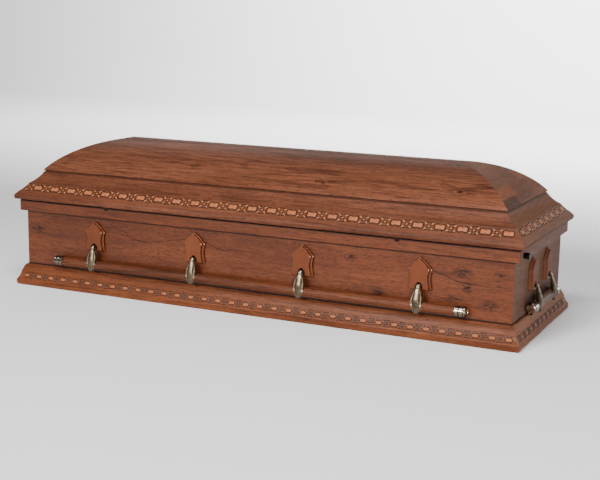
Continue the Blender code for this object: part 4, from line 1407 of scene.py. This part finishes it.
def add_leaf(bm, sizes):
    """Adds the leaf of an arm about its hinge: a raised panel between hollow cheeks with raised rims."""
    wear = vert_layer(bm, "wear")
    rings = []
    for row in range(LEAF_ROWS + 1):
        share = row / LEAF_ROWS
        height = blend(LEAF_TOP_HEIGHT, LEAF_TIP_HEIGHT, share)
        half = leaf_half_width(share)
        over_bar = bar_front(sizes, height)
        front, back = smooth_value(LEAF_FRONT, share), smooth_value(LEAF_BACK, share)
        ring = []
        for column in range(LEAF_COLUMNS + 1):
            across = 2 * column / LEAF_COLUMNS - 1
            least = over_bar + OVER_BAR - OVER_BAR_FALL * abs(across)
            out = max(front - leaf_depth(across, share) * (front - back), least)
            vert = bm.verts.new((across * half, sizes.hinge_out - out, height - sizes.hinge_height))
            vert[wear] = leaf_wear_and_highlight(across, share)
            ring.append(vert)
        out = max(back, over_bar)
        for across in (0.96, 0.5, 0.0, -0.5, -0.96):
            place = (across * 0.9 * half, sizes.hinge_out - out, height - sizes.hinge_height)
            ring.append(bm.verts.new(place))
        rings.append(ring)
    join_rings(bm, rings)


def add_eye(bm, sizes):
    """Adds the eye of an arm: an upright oval ring with rounded edges."""
    wear = vert_layer(bm, "wear")
    middle_out, middle_height = EYE_MIDDLE[0] - sizes.hinge_out, EYE_MIDDLE[1] - sizes.hinge_height
    section = [
        [math.copysign(abs(part) ** EYE_ROUNDING, part) for part in parts]
        for parts in round_steps(EYE_SEGMENTS)
    ]
    rings = []
    for cosine, sine in round_steps(EYE_STEPS):
        ring = []
        for bulge, side in section:
            out = middle_out + cosine * (EYE_RADII[0] + EYE_THICKNESS[0] * bulge)
            height = middle_height + sine * (EYE_RADII[1] + EYE_THICKNESS[1] * bulge)
            vert = bm.verts.new((side * EYE_HALF_WIDTH, -out, height))
            # The eye's outer face is drawn lighter: wearing and painted highlight
            vert[wear] = 1.0 if bulge > 0.5 else 0.2
            ring.append(vert)
        rings.append(ring)
    join_rings(bm, [*rings, rings[0]], ends=False)


def arm_pattern(sizes):
    """One arm about its hinge: leaf, eye and the two knobs at the leaf's foot."""
    bm = bmesh.new()
    add_leaf(bm, sizes)
    add_eye(bm, sizes)
    along, out, height = KNOB_PLACE
    for side in (-1, 1):
        place = Matrix.Translation((side * along, sizes.hinge_out - out, height - sizes.hinge_height))
        bmesh.ops.create_uvsphere(bm, u_segments=14, v_segments=8, radius=KNOB_RADIUS, matrix=place)
    return finish_piece("arm_pattern", bm)


def pin_pattern(sizes):
    """The dark pin that an arm's eye hangs on."""
    half, radius, easing = sizes.slot_width / 2 - 0.0006, 0.0035, 0.0006
    right = [(half - easing, radius), (half, radius - 0.0005), (half, 0.0)]
    bm = bmesh.new()
    turned_solid(bm, mirrored(right) + right, Matrix.Identity(4), 20)
    return finish_piece("pin_pattern", bm)


# A set screw's profile, and where it sits in a cap's collar
SCREW_PROFILE = (
    (-0.0020, 0.0), (-0.0020, 0.0026), (0.0003, 0.0026), (0.0004, 0.0020), (-0.0006, 0.0013), (-0.0006, 0.0),
)
SCREW_ALONG, SCREW_RISE = 0.0068, math.radians(38.0)


def screw_pattern(sizes):
    """A dark set screw with a dished head, let into a cap's collar where it faces front and up."""
    bm = bmesh.new()
    facing = Matrix.Rotation(-math.pi / 2, 4, "Z") @ Matrix.Rotation(-SCREW_RISE, 4, "Y")
    place = Matrix.Translation((SCREW_ALONG, 0, 0)) @ facing @ Matrix.Translation((sizes.cap_radius, 0, 0))
    turned_solid(bm, SCREW_PROFILE, place, 16)
    return finish_piece("screw_pattern", bm)


# Outline of a cap, as (share of its length, depth below its radius): collar, groove, barrel,
# groove and a rounded, dished end
CAP_OUTLINE = (
    (0.0, 0.0008), (0.02, 0.0), (0.305, 0.0), (0.325, 0.0007), (0.335, 0.0022), (0.39, 0.0022),
    (0.40, 0.0009), (0.42, 0.0003), (0.745, 0.0003), (0.765, 0.0010), (0.775, 0.0020), (0.815, 0.0020),
    (0.825, 0.0009), (0.845, 0.0004), (0.905, 0.0008), (0.95, 0.0020), (0.985, 0.0042), (1.0, 0.0058),
    (1.0, 0.0066), (0.965, 0.0072), (0.965, 0.0112), (0.985, 0.0118),
)
CAP_MIDDLE = 0.99

# Where a cap has its grooves and its dish, as reach and depth, and the angles above level, in degrees,
# beyond which it gets painted shade and between which it gets a painted highlight
CAP_GROOVES, CAP_GROOVE_DEPTH = (0.0120, 0.0345), 0.0015
CAP_DISH_REACH, CAP_DISH_DEPTH = 0.0016, 0.0070
CAP_SHADE_ABOVE, CAP_SHADE_BELOW, CAP_HIGHLIGHT_BAND = 66.0, -5.0, (18.0, 55.0)
CAP_GAP = 0.0003


def cap_pattern(sizes):
    """One cap that faces +X from its inner end: darker in its grooves, with painted shade on its top and
    bottom, a painted highlight band between, and a dish lightened as painted reflection.
    """
    radius, reach = sizes.cap_radius, sizes.cap_length
    outline = [(share * reach, radius - below) for share, below in CAP_OUTLINE]
    bm = bmesh.new()
    turned_solid(bm, [(0.0, 0.0), *outline, (CAP_MIDDLE * reach, 0.0)], Matrix.Identity(4))
    hollow, wear = vert_layer(bm, "hollow"), vert_layer(bm, "wear")
    for vert in bm.verts:
        below = radius - Vector(vert.co.yz).length
        groove = CAP_GROOVES[0] < vert.co.x < CAP_GROOVES[1] and below > CAP_GROOVE_DEPTH
        dish = vert.co.x > reach - CAP_DISH_REACH and below > CAP_DISH_DEPTH
        # Painted light: shade on the top and bottom, a highlight band between, a lighter dish
        angle = math.degrees(math.atan2(vert.co.z, abs(vert.co.y)))
        if groove:
            vert[hollow] = 0.95
        elif not dish:
            vert[hollow] = 0.62 if angle > CAP_SHADE_ABOVE else 0.50 if angle < CAP_SHADE_BELOW else 0.0
        highlit = dish or CAP_HIGHLIGHT_BAND[0] < angle < CAP_HIGHLIGHT_BAND[1]
        vert[wear] = 0.8 if highlit and not groove else 0.0
    return finish_piece("cap_pattern", bm)


class COFFIN_OT_handles(bpy.types.Operator):
    """Makes the bars, caps and arms of the four swing-bar handles, each on its own body."""

    bl_idname = "coffin.make_handles"
    bl_label = "Swing-Bar Handles"

    def execute(self, context):
        plan, sizes = context.scene.coffin_plan, context.scene.coffin_handles
        woods = finishes(context)
        patterns = [make(sizes) for make in (arm_pattern, pin_pattern, screw_pattern, cap_pattern)]
        arm, pin, screw, cap = patterns
        for side in SIDE_NAMES:
            long_side = side in LONG_SIDES
            body = f"handle_{side}"
            drop = 0.0 if long_side else sizes.end_drop
            half = sizes.long_half if long_side else sizes.short_half
            pitch = sizes.long_pitch if long_side else sizes.short_pitch
            count = 4 if long_side else 2
            face = half_sizes(plan, side)[1] - plan.board_inset
            bar_half = half - sizes.cap_length
            row = {"Turn": TURNS[side], "Reach": plan.length}
            hinge = {"Out": face + sizes.hinge_out, "Height": sizes.hinge_height - drop}
            bar = {"Out": face + sizes.bar_out, "Height": sizes.bar_height - drop}
            arms = {**row, **hinge, "Count": count, "Pitch": pitch}
            caps = {**row, **bar, "Count": 2, "Pitch": 2 * (bar_half + CAP_GAP)}
            arm_solids = [f"arm_{side}_{number}" for number in range(1, count + 1)]
            cap_solids = [f"bar_cap_{side}_{number}" for number in (1, 2)]
            for name, pattern, surface, settings, crease, solids in (
                ("arms", arm, "antique_metal", arms, 38.0, arm_solids),
                ("arm_pins", pin, "dark_metal", arms, 32.0, ()),
                ("bar_caps", cap, "bright_metal", {**caps, "Face Ends": 1.0}, 32.0, cap_solids),
                ("cap_screws", screw, "dark_metal", caps, 32.0, ()),
            ):
                settings = {**settings, "Piece": pattern, "Surface": woods[surface]}
                piece = grown_piece(f"{name}_{side}", row_tree(), settings, crease)
                declare(piece, body, "antique_metal", *solids)
            radius, easing = sizes.bar_radius, 0.0008
            right = [(bar_half - easing, radius), (bar_half, radius - easing), (bar_half, 0.0)]
            place = Matrix.Rotation(TURNS[side], 4, "Z") @ Matrix.Translation((0, -bar["Out"], bar["Height"]))
            bm = bmesh.new()
            turned_solid(bm, mirrored(right) + right, place)
            wood = woods["side_bar_wood" if long_side else "end_bar_wood"]
            piece = finish_piece(f"bar_{side}_finished", bm, (wood,))
            declare(piece, body, "bar_wood", f"bar_{side}")
        for pattern in patterns:
            remove_pattern(pattern)
        return {"FINISHED"}


# Catches: places along the rail, height, and the stud's profile as (out, radius)
CATCHES = {"left": -0.629, "right": 0.603}
CATCH_HEIGHT = 0.3475
STUD_PROFILE = (
    (-0.0067, 0.0), (-0.0067, 0.0050), (0.0004, 0.0050), (0.0013, 0.0044), (0.0018, 0.0030), (0.0020, 0.0),
)

# A catch's oval socket: half its size, then its cup of painted shadow and its rim as (size, out)
SOCKET_HALF_SIZE = (0.0117, 0.0062)
SOCKET_SHADOW_CUP = ((1.0, 0.0), (0.94, -0.0065))
SOCKET_RIM = ((1.0, 0.0002), (1.05, 0.0006), (1.12, 0.0004), (1.16, -0.0010), (1.0, -0.0010))

# The plug in the right end's rail: its place as (Y, height), and its profile as (out, radius)
PLUG_PLACE = (-0.2910, 0.3270)
PLUG_PROFILE = (
    (-0.0077, 0.0), (-0.0077, 0.0112), (0.0015, 0.0115), (0.0020, 0.0108), (0.0060, 0.0108), (0.0066, 0.0114),
    (0.0110, 0.0114), (0.0116, 0.0108), (0.0160, 0.0108), (0.0182, 0.0120), (0.0186, 0.0136),
    (0.0194, 0.0140), (0.0210, 0.0140), (0.0217, 0.0134), (0.0217, 0.0100), (0.0211, 0.0094), (0.0213, 0.0),
)


def oval_ring(bm, place, profile, filled, steps=32):
    """Adds a ring or a shallow cup round a catch's socket, from (size, out) points."""
    half_along, half_up = SOCKET_HALF_SIZE
    rings = []
    for size, out in profile:
        ovals = [(size * half_along * cosine, size * half_up * sine) for cosine, sine in round_steps(steps)]
        rings.append([bm.verts.new(place @ Vector((along, -out, min(up, half_up)))) for along, up in ovals])
    join_rings(bm, rings if filled else [*rings, rings[0]], ends=filled)


class COFFIN_OT_fittings(bpy.types.Operator):
    """Makes the two round catches in the front rail and the plug in the right end's rail."""

    bl_idname = "coffin.make_fittings"
    bl_label = "Catches and Plug"

    def execute(self, context):
        plan = context.scene.coffin_plan
        woods = finishes(context)
        for name, along in CATCHES.items():
            place = Matrix.Translation((along, RAIL_FACE - plan.width / 2, CATCH_HEIGHT))
            bm = bmesh.new()
            turned_solid(bm, STUD_PROFILE, place @ Matrix.Rotation(-math.pi / 2, 4, "Z"), 28)
            piece = finish_piece(f"catch_{name}_finished", bm, (woods["dark_metal"],))
            declare(piece, ROOT_BODY, "antique_metal", f"catch_{name}")
            parts = {"lining": ("socket_shadow", SOCKET_SHADOW_CUP), "rim": ("plate_wood", SOCKET_RIM)}
            for part, (surface, profile) in parts.items():
                bm = bmesh.new()
                oval_ring(bm, place, profile, part == "lining")
                piece = finish_piece(f"catch_{name}_{part}", bm, (woods[surface],))
                declare(piece, ROOT_BODY, "stained_wood")
        bm = bmesh.new()
        turned_solid(bm, PLUG_PROFILE, Matrix.Translation((plan.length / 2 - RAIL_FACE, *PLUG_PLACE)), 40)
        piece = finish_piece("end_plug_finished", bm, (woods["dark_metal"],))
        declare(piece, ROOT_BODY, "antique_metal", "end_plug")
        return {"FINISHED"}


# Soft lights: place, what they face, size and power
LIGHTS = {
    "key_light": ((-3.2, -10.6, 5.2), (0.0, -0.2, 0.3), (3.6, 1.7), 1450.0),
    "top_light": ((0.8, -2.4, 4.6), (0.2, -0.1, 0.4), (3.0, 1.6), 200.0),
    "fill_light": ((3.9, -4.9, 1.3), (0.3, -0.3, 0.3), (0.9, 1.8), 205.0),
    "ridge_light": ((-1.6, 3.8, 3.0), (0.0, 0.0, 0.6), (6.5, 1.3), 26.0),
    "backdrop_light": ((0.0, 4.5, 5.5), (0.0, 11.0, 2.0), (8.0, 2.0), 2600.0),
}
WORLD_STRENGTH = 0.22


def area_light(name, place, target, size, power):
    """A soft rectangular light at place that faces target."""
    lamp = bpy.data.lights.new(name, "AREA")
    lamp.shape = "RECTANGLE"
    lamp.size, lamp.size_y = size
    lamp.energy = power
    light = new_object(name, lamp)
    light.location = place
    light.rotation_euler = (Vector(target) - Vector(place)).to_track_quat("-Z", "Y").to_euler()


def floor_line():
    """The floor's profile as (Y, Z), curving up into a low backdrop."""
    angles = [math.pi / 2 * step / 16 for step in range(14)]
    return [(-14.0, 0.0), *((8.0 + 3.0 * math.sin(angle), 3.0 - 3.0 * math.cos(angle)) for angle in angles)]


def camera_turn(yaw, pitch, roll):
    """The camera's turn as a matrix."""
    sine, cosine = math.sin, math.cos
    forward = Vector((sine(yaw) * cosine(pitch), cosine(yaw) * cosine(pitch), -sine(pitch)))
    level = Vector((cosine(yaw), -sine(yaw), 0.0))
    upright = level.cross(forward)
    right = cosine(roll) * level + sine(roll) * upright
    up = cosine(roll) * upright - sine(roll) * level
    return Matrix((right, up, -forward)).transposed().to_4x4()


class COFFIN_OT_stage(bpy.types.Operator):
    """Sets up the pale floor, the soft lights and the camera."""

    bl_idname = "coffin.make_stage"
    bl_label = "Stage"

    def execute(self, context):
        settings = context.scene.coffin_stage
        surface, tree, shader, place = new_surface("studio_floor")
        cloud = noise(tree, place, 1.5, 2.0)
        tone = mixed(tree, cloud, settings.floor_colour, scaled(settings.floor_colour, 0.97))
        tree.links.new(tone, shader.inputs["Base Color"])
        shader.inputs["Roughness"].default_value = 0.8
        bm = bmesh.new()
        rows = [[bm.verts.new((x, y, z - 0.0005)) for x in (-16.0, 16.0)] for y, z in floor_line()]
        for before, after in zip(rows, rows[1:]):
            bm.faces.new((before[0], before[1], after[1], after[0]))
        mesh = new_mesh("studio_floor", bm, (surface,))
        mesh.shade_smooth()
        floor = new_object("studio_floor", mesh)

        world = bpy.data.worlds.new("studio")
        context.scene.world = world
        world.use_nodes = True
        background = world.node_tree.nodes["Background"]
        background.inputs["Color"].default_value = (1.0, 1.0, 1.0, 1.0)
        background.inputs["Strength"].default_value = WORLD_STRENGTH
        for name, light in LIGHTS.items():
            area_light(name, *light)

        lens = bpy.data.cameras.new("photo_camera")
        lens.sensor_width = 36.0
        lens.lens = settings.lens
        lens.clip_end = 100.0
        camera = new_object("photo_camera", lens)
        turn = camera_turn(settings.yaw, settings.pitch, settings.roll)
        camera.matrix_world = Matrix.Translation(settings.camera_place) @ turn
        context.scene.camera = camera
        return {"FINISHED"}


class COFFIN_PT_pieces(bpy.types.Panel):
    """Lists the operators that make the coffin, and its sizes and colours."""

    bl_idname = "COFFIN_PT_pieces"
    bl_label = "Wooden Coffin"
    bl_space_type = "VIEW_3D"
    bl_region_type = "UI"
    bl_category = "Coffin"

    def draw(self, context):
        for operator in OPERATORS:
            self.layout.operator(operator.bl_idname)
        for name in SETTINGS:
            box = self.layout.box()
            group = getattr(context.scene, name)
            for key in group.__annotations__:
                box.prop(group, key)


OPERATORS = (
    COFFIN_OT_stage,
    COFFIN_OT_box,
    COFFIN_OT_mouldings,
    COFFIN_OT_carving,
    COFFIN_OT_dome,
    COFFIN_OT_plates,
    COFFIN_OT_handles,
    COFFIN_OT_fittings,
)
SETTINGS = {
    "coffin_plan": CoffinPlan,
    "coffin_carving": CarvingSizes,
    "coffin_handles": HandleSizes,
    "coffin_colours": CoffinColours,
    "coffin_stage": StageSettings,
}


def register():
    for name, group in SETTINGS.items():
        bpy.utils.register_class(group)
        setattr(bpy.types.Scene, name, PointerProperty(type=group))
    for operator in OPERATORS:
        bpy.utils.register_class(operator)
    bpy.utils.register_class(COFFIN_PT_pieces)


def unregister():
    bpy.utils.unregister_class(COFFIN_PT_pieces)
    for operator in reversed(OPERATORS):
        bpy.utils.unregister_class(operator)
    for name, group in SETTINGS.items():
        delattr(bpy.types.Scene, name)
        bpy.utils.unregister_class(group)


def main():
    register()
    bpy.ops.coffin.make_stage()
    bpy.ops.coffin.make_box()
    bpy.ops.coffin.make_mouldings()
    bpy.ops.coffin.make_carving()
    bpy.ops.coffin.make_dome()
    bpy.ops.coffin.make_plates()
    bpy.ops.coffin.make_handles()
    bpy.ops.coffin.make_fittings()


if __name__ == "__main__":
    main()
